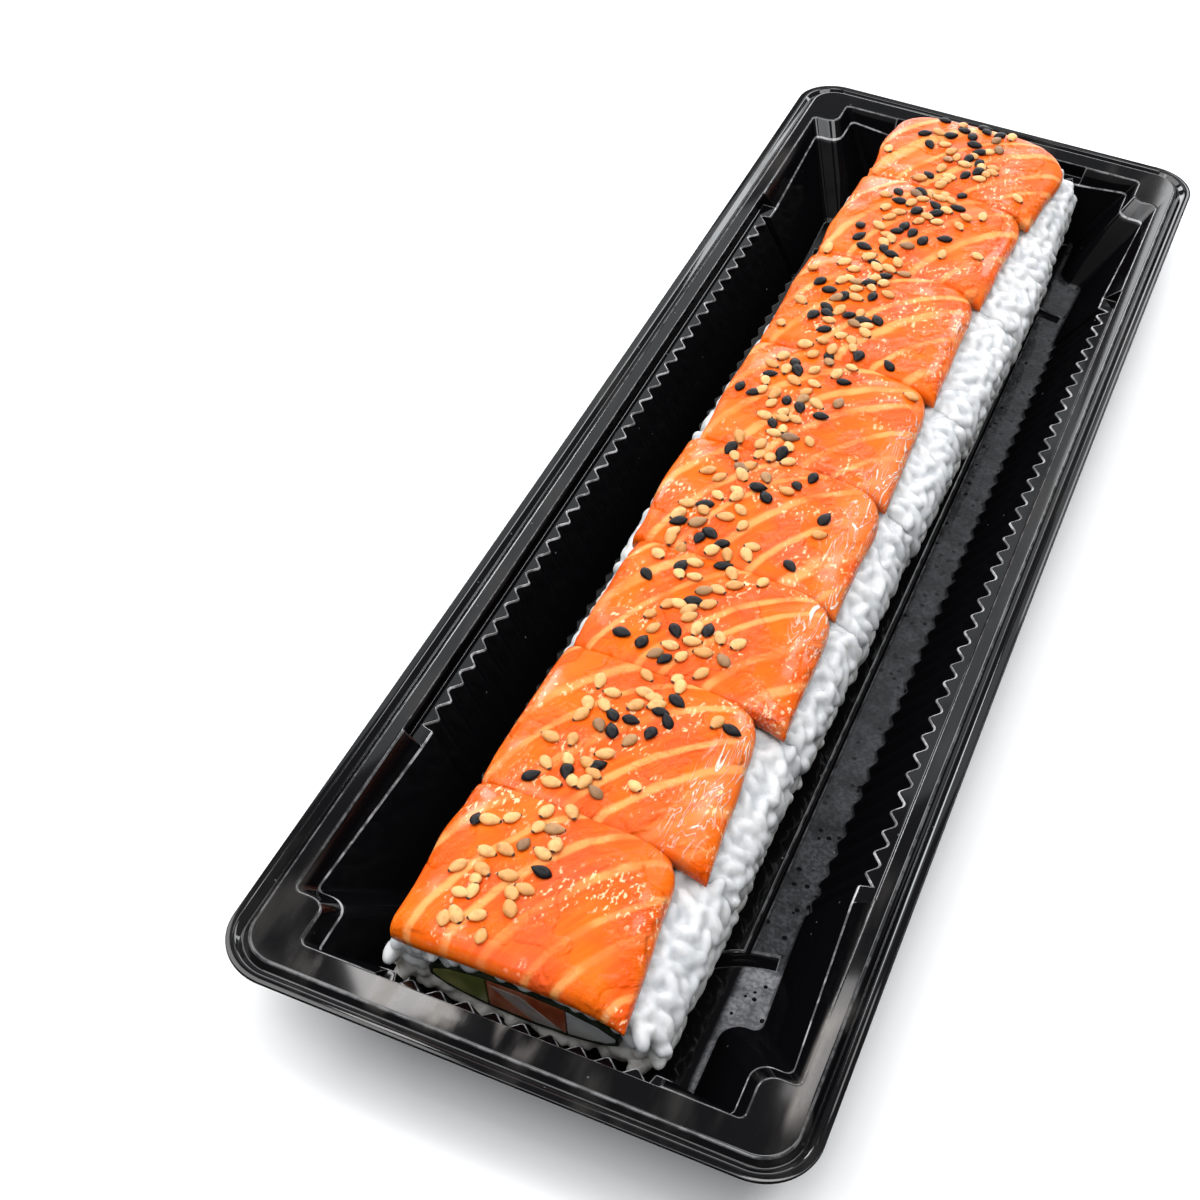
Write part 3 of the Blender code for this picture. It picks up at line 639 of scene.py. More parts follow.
def build_tray(bm):
    """Turn the quarter into the whole formed sheet with modifiers."""
    bmesh.ops.scale(bm, vec=(MM, MM, MM), verts=bm.verts)
    mesh = bpy.data.meshes.new("tray_shell")
    bm.to_mesh(mesh)
    bm.free()
    tray = new_object("tray_shell", mesh, plastic)
    mirror = tray.modifiers.new("mirror", "MIRROR")
    mirror.use_axis = (True, True, False)
    mirror.merge_threshold = MERGE_WITHIN * MM
    round_edges(tray, "round_edges", EDGE_ROUND, EDGE_ANGLE)
    sheet = tray.modifiers.new("sheet", "SOLIDIFY")
    sheet.thickness = SHEET * MM
    sheet.offset = -1.0
    sheet.use_even_offset = False
    round_edges(tray, "round_lip", LIP_ROUND, LIP_ANGLE)
    tray.modifiers.new("even_shading", "WEIGHTED_NORMAL")
    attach(tray, "root")
    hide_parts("tray")
    return tray


tray = build_tray(quarter)
print("made", tray.name)

# %% [markdown]
# ## The rice
#
# Cooked sushi rice is a mass of short, plump, half-translucent grains. A bumpy
# texture on a block would look like plaster at its outline, so each piece is a
# smooth core with a layer of real grains pressed into it, joined in one mesh.
# Starch glues real grains together, so one skin of small cells is drawn over
# core and grains, softened a little and thinned to half its faces. The grains
# that lie under the fish or on the floor are never seen and are left out.

# %% Where a piece of the roll stands
class Piece:
    """One piece of the roll, and how its own space is bent into place."""

    def __init__(self, index):
        self.index, self.number = index, index + 1
        self.width, self.shift, self.skew = PIECE_WIDTHS[index], PIECE_SHIFTS[index], PIECE_SKEWS[index]
        self.length = CUTS[index + 1] - CUTS[index] - CUT_GAP
        self.middle = (CUTS[index + 1] + CUTS[index]) / 2
        self.near_lean = NEAR_LEAN if index == 0 else 0.0
        self.far_lean = FAR_LEAN if index == PIECES - 1 else 0.0

    def place(self, x, y, z):
        """Take a point of the piece, with y along it from its middle, to the tray's space."""
        low = 1.0 - (z - RICE_BOTTOM) / (RICE_TOP - RICE_BOTTOM)
        along = y / self.length
        lean = self.near_lean * low * (0.5 - along) - self.far_lean * low * (0.5 + along)
        return (self.shift + x + self.skew * y, self.middle + y + lean, z)


def loaf_point(width, angle, inset=0.0):
    """A point of the rice's rounded section, as (x, z)."""
    half_x, half_z = width / 2 - inset, (RICE_TOP - RICE_BOTTOM) / 2 - inset
    c, s = math.cos(angle), math.sin(angle)
    x = half_x * math.copysign(abs(c) ** (2 / RICE_POWER), c)
    z = half_z * math.copysign(abs(s) ** (2 / RICE_POWER), s)
    return x, RICE_MIDDLE + z


def oval_point(angle, inset):
    """A point of the seaweed's oval, as (x, z)."""
    x = (OVAL_WIDTH / 2 - inset) * math.cos(angle)
    return x, RICE_MIDDLE + (OVAL_HEIGHT / 2 - inset) * math.sin(angle)


pieces = [Piece(index) for index in range(PIECES)]
print("pieces:", [round(piece.length, 1) for piece in pieces], "mm long")

# %% [markdown]
# A grain and a seed are both small bodies that are scattered many times. Each
# is turned from a profile once, as a template. A heap then copies the template
# to many places and joins the copies, which is much lighter for Blender than
# hundreds of objects.

# %% Turned templates and a scatter
def turned(profile, segments):
    """Turn a profile of (share of length, share of radius) into a closed body.

    The body is 1 long on X and 1 wide on Y and Z. The third list says how far
    along the body each point lies.
    """
    verts, along = [], []
    for t, radius in profile[1:-1]:
        for i in range(segments):
            angle = 2 * math.pi * i / segments
            verts.append((t - 0.5, radius / 2 * math.cos(angle), radius / 2 * math.sin(angle)))
            along.append(t)
    verts += [(-0.5, 0.0, 0.0), (0.5, 0.0, 0.0)]
    along += [0.0, 1.0]
    faces = []
    rows = len(profile) - 2
    for i in range(segments):
        j = (i + 1) % segments
        for row in range(rows - 1):
            a, b = row * segments, (row + 1) * segments
            faces.append((a + i, b + i, b + j, a + j))
        faces.append((len(verts) - 2, i, j))
        last = (rows - 1) * segments
        faces.append((len(verts) - 1, last + j, last + i))
    return np.array(verts), faces, along


def turn_to(normal, spin, tilt):
    """A rotation that lays X on a surface, spun about its normal and tipped a little."""
    face_up = Vector(normal).normalized().to_track_quat("Z", "Y").to_matrix()
    return face_up @ Matrix.Rotation(spin, 3, "Z") @ Matrix.Rotation(tilt, 3, "Y")


class Heap:
    """Collects bodies until they are joined in one piece."""

    def __init__(self):
        self.verts, self.faces, self.along, self.shade = [], [], [], []

    def add(self, verts, faces, along, shade):
        """Add a body whose points are already in place."""
        start = len(self.verts)
        self.verts += [tuple(point) for point in verts]
        self.faces += [tuple(start + i for i in face) for face in faces]
        self.along += list(along)
        self.shade += [shade] * len(verts)

    def add_copy(self, template, size, turn, spot, shade, bend=0.0):
        """Add a scaled, bent and turned copy of a template."""
        points, faces, along = template
        points = points * np.array(size)
        points[:, 2] -= bend * points[:, 0] ** 2
        self.add(points @ np.array(turn).T + np.array(spot), faces, along, shade)

    def finish(self, name, material, slot, replaced=()):
        """Join what was collected."""
        values = {"along": self.along, "shade": self.shade}
        return add_piece(name, self.verts, self.faces, material, replaced, values)


GRAIN_PROFILE = (
    (0.0, 0.0), (0.04, 0.42), (0.14, 0.74), (0.32, 0.95), (0.5, 1.0),
    (0.68, 0.95), (0.86, 0.74), (0.96, 0.42), (1.0, 0.0),
)
GRAIN = turned(GRAIN_PROFILE, segments=10)
print("grain template:", len(GRAIN[0]), "points")

# %% Material of the rice
# Heights in millimetres over which the painted shade fades out up the rice.
LOW_SHADE_FULL, LOW_SHADE_END = 4.0, 13.0


def make_rice():
    """Bluish white and translucent, with a slightly different tone for each grain and painted shade towards
    the bottom.
    """
    material, tree, shader = new_material(
        "cooked_rice", Roughness=0.34, Subsurface_Weight=0.90, Subsurface_Scale=0.0036,
        Subsurface_Radius=(1.0, 0.95, 0.9), Specular_IOR_Level=0.32)
    place = place_in_space(tree)
    cloud = use_group(tree, SOFT_CLOUDS, Place=place, Scale=130.0, Detail=3.0, Low=0.35, High=0.65)
    each = use_group(tree, SOFT_CLOUDS, Place=place, Scale=420.0, Detail=1.0, Low=0.38, High=0.62)
    colour = blend(tree, each, (0.54, 0.56, 0.58), (0.64, 0.65, 0.66))
    colour = blend(tree, multiply(tree, cloud, 0.45), colour, (0.68, 0.68, 0.66))
    # Painted shade: warmer and darker towards the bottom, where the rice sits in shade by the floor.
    height = split(tree, place)[2]
    low_shade = multiply(tree, rise(tree, height, LOW_SHADE_FULL * MM, LOW_SHADE_END * MM, 1.0, 0.0), 0.5)
    colour = blend(tree, low_shade, colour, (0.55, 0.49, 0.39))
    tree.links.new(colour, shader.inputs["Base Color"])
    skin = use_group(tree, WET_SKIN, Place=place, Scale=700.0, Wrinkles=0.4)
    bend_normal(tree, shader, skin, 0.35, 0.0002)
    return material


rice_white = make_rice()
print("material:", rice_white.name)

# %% The core of a piece
GRAIN_LENGTH, GRAIN_WIDTH, GRAIN_THICKNESS = 5.0, 2.5, 2.5
GRAIN_SINK, CORE_INSET, END_INSET, END_LAP = 1.35, 1.15, 1.0, 0.25
GRAIN_SPACING, SIDE_TRIES, END_TRIES = 2.15, 2600, 1500
GRAIN_SIZES, GRAIN_TILT, GRAIN_BENDS = (0.86, 1.1), 0.16, (0.0, 0.03)
SKIN_CELL, SKIN_SOFTNESS, SKIN_PASSES, SKIN_SHARE = 0.36, 0.5, 2, 0.5
RICE_DRAWS = 5
CORE_POINTS, CORE_ROWS = 72, 12
HIDDEN_TOP_X, HIDDEN_TOP_Z, HIDDEN_BOTTOM_Z = 10.5, RICE_MIDDLE + 5.0, 2.4
SIDE_MARGIN, ANGLE_STEP = 0.4, 0.02
END_SHARES, END_OUTER, END_INNER, END_TILT = (0.05, 0.95), 1.2, -1.3, 0.25


def add_core(heap, piece):
    """The body of the rice with the oval hole through it."""
    count, rows, verts = CORE_POINTS, CORE_ROWS, []
    near = -piece.length / 2 + (END_INSET if piece.index == 0 else -END_LAP)
    far = piece.length / 2 - (END_INSET if piece.number == PIECES else -END_LAP)
    angles = [2 * math.pi * (i + 0.5) / count for i in range(count)]
    outside = [loaf_point(piece.width, angle, CORE_INSET) for angle in angles]
    hole = [oval_point(angle, -HOLE_GAP) for angle in angles]
    for ring in (outside, hole):
        for row in range(rows):
            y = lerp(near, far, row / (rows - 1))
            verts += [piece.place(x, y, z) for x, z in ring]
    faces = []
    for i in range(count):
        j = (i + 1) % count
        for row in range(rows - 1):
            a, b = row * count, (row + 1) * count
            faces.append((a + i, a + j, b + j, b + i))
            a, b = a + rows * count, b + rows * count
            faces.append((a + j, a + i, b + i, b + j))
        inner, last = rows * count, (rows - 1) * count
        faces.append((i, inner + i, inner + j, j))
        faces.append((last + j, last + inner + j, last + inner + i, last + i))
    heap.add(verts, faces, [0.5] * len(verts), 0.5)


print("core:", CORE_POINTS, "points round and", CORE_ROWS, "rows; grains", GRAIN_LENGTH, "mm long")

# %% Grains round the core
def side_places(piece, rng):
    """Places for grains on the long sides and the bare part of the top."""
    spots, places = [], []
    for _ in range(SIDE_TRIES):
        angle = rng.uniform(0.0, 2 * math.pi)
        y = rng.uniform(-0.5, 0.5) * (piece.length - SIDE_MARGIN)
        x, z = loaf_point(piece.width, angle, GRAIN_SINK)
        if z < HIDDEN_BOTTOM_Z or (z > HIDDEN_TOP_Z and abs(x) < HIDDEN_TOP_X):
            continue
        if any((x - a) ** 2 + (y - b) ** 2 + (z - c) ** 2 < GRAIN_SPACING ** 2 for a, b, c in spots):
            continue
        spots.append((x, y, z))
        x1, z1 = loaf_point(piece.width, angle + ANGLE_STEP, GRAIN_SINK)
        x0, z0 = loaf_point(piece.width, angle - ANGLE_STEP, GRAIN_SINK)
        places.append((piece.place(x, y, z), (z1 - z0, 0.0, x0 - x1)))
    return places


def end_places(piece, side, rng):
    """Places for grains on a cut end, between the seaweed and the outside."""
    spots, places = [], []
    for _ in range(END_TRIES):
        angle, share = rng.uniform(0.0, 2 * math.pi), rng.uniform(*END_SHARES)
        outer, inner = loaf_point(piece.width, angle, END_OUTER), oval_point(angle, END_INNER)
        x, z = lerp(inner[0], outer[0], share), lerp(inner[1], outer[1], share)
        if any(math.dist((x, z), spot) < GRAIN_SPACING for spot in spots):
            continue
        spots.append((x, z))
        y = side * (piece.length / 2 - GRAIN_SINK)
        places.append((piece.place(x, y, z), (0.0, side, END_TILT)))
    return places


def melt_together(rice):
    """Fuse core and grains in one skin and soften the creases, as sticky starch does."""
    skin = rice.modifiers.new("one_skin", "REMESH")
    skin.mode = "VOXEL"
    skin.voxel_size = SKIN_CELL * MM
    skin.use_smooth_shade = True
    soften = rice.modifiers.new("soften", "SMOOTH")
    soften.factor = SKIN_SOFTNESS
    soften.iterations = SKIN_PASSES
    lighter = rice.modifiers.new("fewer_faces", "DECIMATE")
    lighter.ratio = SKIN_SHARE


def build_rice(piece, rng):
    """Core and grains of one piece in one mesh."""
    heap = Heap()
    add_core(heap, piece)
    places = side_places(piece, rng)
    if piece.number == 1:
        places += end_places(piece, -1.0, rng)
    if piece.number == PIECES:
        places += end_places(piece, 1.0, rng)
    for spot, normal in places:
        size = np.array((GRAIN_LENGTH, GRAIN_WIDTH, GRAIN_THICKNESS)) * rng.uniform(*GRAIN_SIZES)
        turn = turn_to(normal, rng.uniform(0.0, math.pi), rng.gauss(0.0, GRAIN_TILT))
        heap.add_copy(GRAIN, size, turn, spot, rng.random(), bend=rng.uniform(*GRAIN_BENDS))
    rice = heap.finish(f"rice_grains_{piece.number}", rice_white, "rice", [f"rice_{piece.number}"])
    melt_together(rice)
    return rice


rng = random.Random(RICE_DRAWS)
rice_objects = [build_rice(piece, rng) for piece in pieces]
print("rice faces before the skin:", [len(obj.data.polygons) for obj in rice_objects])

# %% [markdown]
# ## The salmon slices
#
# Each slice is cut from the side of a salmon, 3 to 4 mm thick, with pale lines
# of fat between the muscle layers. It drapes over the left shoulder of the
# rice, lies flat on top and ends in a soft point near the right. A cloth
# simulation could drape it, but its edges would then move about; a grid of
# points that is laid on the rice keeps every edge where the real one is.

# %% The roof of the rice and the outline of a slice
def seam(k, x):
    """Where slice k begins along the tray: nearer at its right end than at its left."""
    if k == 0:
        return CUTS[0] - NEAR_OVERHANG
    if k == PIECES:
        return CUTS[PIECES] + FAR_OVERHANG
    return CUTS[k] - SLICE_SLANT * x / SLICE_SLANT_X


def rice_height(piece, x, y):
    """The height of one piece's rice under a point of the tray."""
    across = abs(x - piece.shift - piece.skew * (y - piece.middle)) / (piece.width / 2)
    if across >= 1.0:
        return RICE_MIDDLE
    return RICE_MIDDLE + (RICE_TOP - RICE_MIDDLE) * (1.0 - across ** RICE_POWER) ** (1 / RICE_POWER)


def roof(x, y):
    """The height of the highest rice within reach of a point of the tray."""
    near = [piece for piece in pieces if abs(y - piece.middle) < piece.length / 2 + SEAM_REACH]
    return max(rice_height(piece, x, y) for piece in near)


def slice_corner(piece, u, v):
    """How far a slice's corners are drawn along the tray: a tip near right, the rest rounded."""
    right = max(0.0, (u - RIGHT_CORNER) / (1.0 - RIGHT_CORNER)) ** 2
    left = max(0.0, (LEFT_CORNER - u) / LEFT_CORNER) ** 2
    pull = -TIP_REACH * right * (1.0 - v) + NEAR_ROUND * left * (1.0 - v)
    pull -= FAR_ROUND * right * v + LEFT_ROUND * left * v
    if piece.number == PIECES:
        pull -= END_ROUND * max(left, right) * v
    return pull


LEFT_TURNS = (31.0, 38.0, 40.0, 39.0, 40.0, 38.0, 37.0, 33.0)
COLUMNS, ROWS = 92, 58


def spread(count, crowding=0.45):
    """Shares from 0 to 1 that crowd towards both ends, where the edges are rounded."""
    even = [i / (count - 1) for i in range(count)]
    return [lerp(t, 0.5 - 0.5 * math.cos(math.pi * t), crowding) for t in even]


print("slice grid:", COLUMNS, "by", ROWS)

# %% Lay the slices on the rice
LEFT_EDGE, RIGHT_EDGE, NEAR_EDGE, FAR_EDGE = (3.2, 0.35), (6.0, 0.22), (2.4, 0.70), (3.0, 0.72)
FIRST_EDGE, LAST_EDGE = (3.0, 0.38), (4.0, 0.32)
FAR_THIN, FAR_THIN_REACH = 0.84, 0.32
NEAR_LAP, FAR_TUCK = 1.0, 0.7
FAR_TURN_START, FAR_TURN_PULL = 0.78, 1.92
RIGHT_WAVE, LEFT_WAVE = (0.45, 3.0, 7.3), (0.9, 2.5, 3.1)
SECTION_POINTS, STEEPEST, DRAPE_PASSES = 160, 0.999, 12


def edge_wave(piece, v, wave):
    """The unevenness of an edge, from its height, its pitch and its step between pieces."""
    height, pitch, step = wave
    return height * soft_noise(v * pitch, piece.number * step)


def slice_right(piece, v):
    """The right end of a slice across the tray, rounded at its far corner."""
    right = lerp(*SLICE_RIGHTS[piece.index], v)
    turn = max(0.0, (v - FAR_TURN_START) / (1.0 - FAR_TURN_START))
    right -= FAR_TURN_PULL * (1.0 - math.sqrt(max(0.0, 1.0 - turn * turn)))
    return right + edge_wave(piece, v, RIGHT_WAVE)


def column_places(piece, v, shares):
    """The X of every column at one row, evenly spaced over the bent surface."""
    half = piece.width / 2
    start = -half * math.cos(math.radians(LEFT_TURNS[piece.index])) ** (2 / RICE_POWER)
    start += edge_wave(piece, v, LEFT_WAVE)
    end = slice_right(piece, v) - piece.shift
    xs = np.linspace(start, end, SECTION_POINTS)
    across = np.clip(np.abs(xs) / half, 0.0, STEEPEST)
    zs = (RICE_TOP - RICE_MIDDLE) * (1.0 - across ** RICE_POWER) ** (1 / RICE_POWER)
    steps = np.hypot(np.diff(xs), np.diff(zs))
    walked = np.concatenate(([0.0], np.cumsum(steps)))
    return np.interp(np.array(shares) * walked[-1], walked, xs) + piece.shift


def edge_profile(distance, edge):
    """The share of the full thickness at a distance from an edge of (radius, height)."""
    radius, height = edge
    t = min(1.0, max(0.0, distance / radius))
    return height + (1.0 - height) * math.sqrt(1.0 - (1.0 - t) ** 2)


def under_surface(piece):
    """The grid of points on the rice, smoothed as soft fish would lie."""
    shares_u, shares_v = spread(COLUMNS), spread(ROWS)
    grid = np.zeros((ROWS, COLUMNS, 3))
    for row, v in enumerate(shares_v):
        xs = column_places(piece, v, shares_u)
        for column, x in enumerate(xs):
            u = shares_u[column]
            start = seam(piece.index, x) - (NEAR_LAP if piece.index else 0.0)
            end = seam(piece.index + 1, x) + (FAR_TUCK if piece.number < PIECES else 0.0)
            y = lerp(start, end, v) + slice_corner(piece, u, v)
            grid[row, column] = (x, y, roof(x, y) + SLICE_CLEAR)
    heights = grid[:, :, 2]
    for _ in range(DRAPE_PASSES):
        padded = np.pad(heights, 1, mode="edge")
        around = padded[:-2, 1:-1] + padded[2:, 1:-1] + padded[1:-1, :-2] + padded[1:-1, 2:]
        heights = np.maximum(heights, around / 4)
    grid[:, :, 2] = heights
    return grid, shares_u, shares_v


def grid_normals(grid):
    """The upward normal at every point of a grid."""
    normals = np.cross(np.gradient(grid, axis=1), np.gradient(grid, axis=0))
    return normals / np.linalg.norm(normals, axis=2, keepdims=True)


print("ripples and rounded edges: edge_wave, edge_profile; the slices lie on", len(pieces), "pieces")

# %% The direction of the muscle
BAND_ANGLE, BAND_SWING, SWING_STEP, BAND_SPACING = 52.0, 5.0, 2.1, 6.3
BAND_MIDDLE_X, BAND_CURVE, BAND_STEP = 2.0, 0.010, 0.37
FAN_SHARE, FAN_START, FAN_END = 0.28, 2.0, 22.0
BAND_WAVE, FIBRE_UNIT = (0.45, 0.9, 5.7), 10.0


def along_across(dx, dy, degrees):
    """A step on the tray, measured along and across a direction."""
    c, s = math.cos(math.radians(degrees)), math.sin(math.radians(degrees))
    return dx * c + dy * s, -dx * s + dy * c


def band_place(piece, x, y):
    """Across and along the muscle layers; a whole number across is a line of fat."""
    angle = BAND_ANGLE + BAND_SWING * math.sin(piece.number * SWING_STEP)
    along, across = along_across(x - BAND_MIDDLE_X, y - piece.middle, angle)
    across += BAND_CURVE * along * along
    fan = 1.0 - FAN_SHARE * smooth_step(FAN_START, FAN_END, along)
    u = across / (BAND_SPACING * fan) + BAND_STEP * piece.number
    return u + edge_wave(piece, u, BAND_WAVE), along / FIBRE_UNIT


print("lines of fat every", BAND_SPACING, "mm, at", BAND_ANGLE, "degrees")

# %% [markdown]
# The surface of raw salmon is deep orange and wet. The lines of fat are paler
# and soft at their edges, the middle is pinker, and near the right end of each
# slice a silvery skin is left on it in fine wrinkles, with painted sheen along
# the folds. Tiny painted highlights stand in for glints of wet light. The lines
# follow a UV map that bends with the muscle, so they fan out as the real ones do.

# %% Lines, wrinkles and painted wet glints of the salmon
def fat_lines(tree, place, fibre):
    """Pale lines that sway and fade, one at each whole number across the fibre map."""
    sway = noise_field(tree, place, 160.0, 3.0)
    across = calculate(tree, "MULTIPLY_ADD", sway, 0.24, split(tree, fibre)[0])
    distance = calculate(tree, "PINGPONG", across, 0.5)
    faint = use_group(tree, SOFT_CLOUDS, Place=place, Scale=75.0, Detail=3.0, Low=0.36, High=0.62)
    return multiply(tree, rise(tree, distance, 0.05, 0.17, 1.0, 0.0), weigh(tree, faint, 0.25, 1.0))


def silver_folds_with_sheen(tree, place, silver):
    """Thin bright wrinkles where the silvery skin is left on: its pale tone, with painted sheen along the
    folds.
    """
    crinkle = noise_field(tree, stretched(tree, place, 0.20), 560.0, 2.0, 0.9)
    fold = calculate(tree, "PINGPONG", multiply(tree, crinkle, 5.0), 0.5)
    return multiply(tree, silver, rise(tree, fold, 0.02, 0.15, 1.0, 0.0))


def painted_wet_glints(tree, place, wet_zone):
    """Painted highlights: tiny bright flecks that stand in for glints of wet light, in the wet zones only.
    """
    glints = use_group(
        tree, SOFT_CLOUDS, Place=stretched(tree, place, 0.55), Scale=1500.0, Detail=2.0, Low=0.58, High=0.66)
    return multiply(tree, glints, wet_zone)


print("details: fat_lines, silver_folds_with_sheen, painted_wet_glints")

# %% Material of the salmon
def make_salmon():
    """Orange muscle, pale lines, a pinker middle, silvery wrinkles with painted sheen, painted wet glints
    and a wet gloss.
    """
    material, tree, shader = new_material(
        "raw_salmon", Subsurface_Weight=0.25, Subsurface_Scale=0.0020,
        Subsurface_Radius=(1.0, 0.30, 0.08), Specular_IOR_Level=0.10,
        Coat_Roughness=0.12)
    place = place_in_space(tree)
    fibre = add_node(tree, "ShaderNodeUVMap", uv_map="fibre").outputs[0]
    silver, pink = read_mask(tree, "silver"), read_mask(tree, "pink")
    cloud = use_group(tree, SOFT_CLOUDS, Place=place, Scale=130.0, Detail=4.0, Low=0.32, High=0.70)
    wet_zone = use_group(tree, SOFT_CLOUDS, Place=place, Scale=90.0, Detail=3.0, Low=0.47, High=0.60)
    patch = use_group(tree, SOFT_CLOUDS, Place=place, Scale=135.0, Detail=3.0, Low=0.46, High=0.60)
    threads = noise_field(tree, stretched(tree, fibre, 1.3, 9.0), 1.0, 3.0)
    skin = silver_folds_with_sheen(tree, place, silver)

    colour = blend(tree, cloud, (0.76, 0.128, 0.002), (0.72, 0.078, 0.001))
    rosy = multiply(tree, pink, weigh(tree, cloud, 0.35, 1.0))
    colour = blend(tree, rosy, colour, (0.71, 0.088, 0.015))
    colour = blend(tree, rise(tree, threads, 0.45, 0.75, 0.0, 0.30), colour, (0.82, 0.21, 0.022))
    colour = blend(tree, fat_lines(tree, place, fibre), colour, (0.84, 0.31, 0.088))
    colour = blend(tree, multiply(tree, silver, 0.40), colour, (0.84, 0.25, 0.08))
    # Painted sheen: near-white lines on the folds of the silvery skin, over its own pale tone.
    colour = blend(tree, multiply(tree, skin, 0.85), colour, (0.96, 0.82, 0.72))
    # Painted highlights: tiny bright flecks stand in for glints of wet light.
    glints = multiply(tree, painted_wet_glints(tree, place, wet_zone), 0.8)
    colour = blend(tree, glints, colour, (0.98, 0.62, 0.36))
    tree.links.new(colour, shader.inputs["Base Color"])
    tree.links.new(multiply(tree, wet_zone, 0.4), shader.inputs["Coat Weight"])
    tree.links.new(weigh(tree, patch, 0.30, 0.09), shader.inputs["Roughness"])

    wet = use_group(tree, WET_SKIN, Place=stretched(tree, fibre, 0.8), Scale=6.5, Wrinkles=0.35)
    height = multiply(tree, wet, weigh(tree, patch, 0.10, 1.0))
    height = plus(tree, height, multiply(tree, skin, 0.6))
    bend_normal(tree, shader, height, 1.0, 0.0006)
    return material


salmon_flesh = make_salmon()
print("material:", salmon_flesh.name)

# %% Thickness and masks of a slice
SILVER_PATCHES = (
    (10.6, -77.0, 15.0, 1.0), (14.0, -37.0, 9.0, 1.0), (12.2, -11.0, 12.0, 0.9),
    (14.3, 11.0, 13.0, 1.0), (14.6, 50.0, 9.0, 0.8),
)
SILVER_WIDTH, SILVER_ANGLE = 3.0, 84.0
RIPPLE, RIPPLE_FADE = 0.07, 6.0
DIMPLE, DIMPLE_SIZES = 0.13, ((5.0, 0.0), (12.0, 9.0))
PINK_X, PINK_WIDTH = -1.0, 10.0


def silver_amount(x, y):
    """How much of the silvery skin is left at a point: long patches beside the right edges."""
    total = 0.0
    for px, py, reach, strength in SILVER_PATCHES:
        along, across = along_across(x - px, y - py, SILVER_ANGLE)
        total += strength * math.exp(-(along / reach) ** 4 - (across / SILVER_WIDTH) ** 4)
    return min(1.0, total)


def slice_relief(piece, x, y, across, from_side):
    """Low ripples over the muscle layers, and dimples of two sizes."""
    ripple = RIPPLE * math.cos(2 * math.pi * across) * min(1.0, from_side / RIPPLE_FADE)
    dimples = [soft_noise(x / size, y / size, piece.number + step) for size, step in DIMPLE_SIZES]
    return ripple + DIMPLE * sum(dimples)


def slice_top(piece):
    """The upper points of a slice with their masks, and the grid that they stand on."""
    grid, shares_u, shares_v = under_surface(piece)
    normals = grid_normals(grid)
    width = np.linalg.norm(np.diff(grid, axis=1), axis=2).sum(axis=1).mean()
    length = np.linalg.norm(np.diff(grid, axis=0), axis=2).sum(axis=0).mean()
    near_edge = NEAR_EDGE if piece.index else FIRST_EDGE
    far_edge = FAR_EDGE if piece.number < PIECES else LAST_EDGE
    verts, uvs, silver, pink = [], [], [], []
    for row, v in enumerate(shares_v):
        thin = 1.0 - (1.0 - FAR_THIN) * smooth_step(1.0 - FAR_THIN_REACH, 1.0, v)
        for column, u in enumerate(shares_u):
            x, y, _ = grid[row, column]
            across, along = band_place(piece, x, y)
            share = edge_profile(u * width, LEFT_EDGE) * edge_profile((1.0 - u) * width, RIGHT_EDGE)
            share *= edge_profile(v * length, near_edge) * edge_profile((1.0 - v) * length, far_edge)
            relief = slice_relief(piece, x, y, across, min(u, 1.0 - u) * width)
            thickness = (SLICE_THICKNESS * thin + relief) * share
            verts.append(tuple(grid[row, column] + normals[row, column] * thickness))
            uvs.append((across, along))
            silver.append(silver_amount(x, y))
            pink.append(math.exp(-((x - piece.shift - PINK_X) / PINK_WIDTH) ** 2))
    return grid, verts, uvs, {"silver": silver * 2, "pink": pink * 2}


print("silvery patches:", len(SILVER_PATCHES))

# %% Build the eight slices
def slice_faces(count):
    """The faces over, under and round a slice whose lower points follow its upper ones."""
    faces = []
    for row in range(ROWS - 1):
        for column in range(COLUMNS - 1):
            a = row * COLUMNS + column
            b = a + COLUMNS
            faces.append((a, a + 1, b + 1, b))
            faces.append((count + a, count + b, count + b + 1, count + a + 1))
    last_row, last = (ROWS - 1) * COLUMNS, COLUMNS - 1
    border = list(range(last)) + [row * COLUMNS + last for row in range(ROWS - 1)]
    border += [last_row + column for column in range(last, 0, -1)]
    border += [row * COLUMNS for row in range(ROWS - 1, 0, -1)]
    for a, b in zip(border, border[1:] + border[:1]):
        faces.append((b, a, count + a, count + b))
    return faces


def build_slice(piece):
    """One slice: the lower grid, the upper points over it and a wall round the edge."""
    grid, verts, uvs, masks = slice_top(piece)
    faces = slice_faces(len(verts))
    verts += [tuple(point) for point in grid.reshape(-1, 3)]
    name, replaced = f"salmon_slice_{piece.number}", [f"topping_{piece.number}"]
    obj = add_piece(name, verts, faces, salmon_flesh, replaced, masks)
    layer = obj.data.uv_layers.new(name="fibre")
    corners = np.zeros(len(obj.data.loops), dtype=np.int64)
    obj.data.loops.foreach_get("vertex_index", corners)
    layer.data.foreach_set("uv", np.array(uvs * 2)[corners].ravel())
    return obj


slices = [build_slice(piece) for piece in pieces]
print("slices:", [obj.name for obj in slices])

# %% [markdown]
# ## Seaweed and fillings
#
# The cut end shows a black oval of seaweed round avocado, salmon, a pale strip
# and loose rice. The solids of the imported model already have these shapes, so
# they stay and only get their finish: fine pores on the seaweed, and soft
# streaks of two tones in the avocado and the fish.

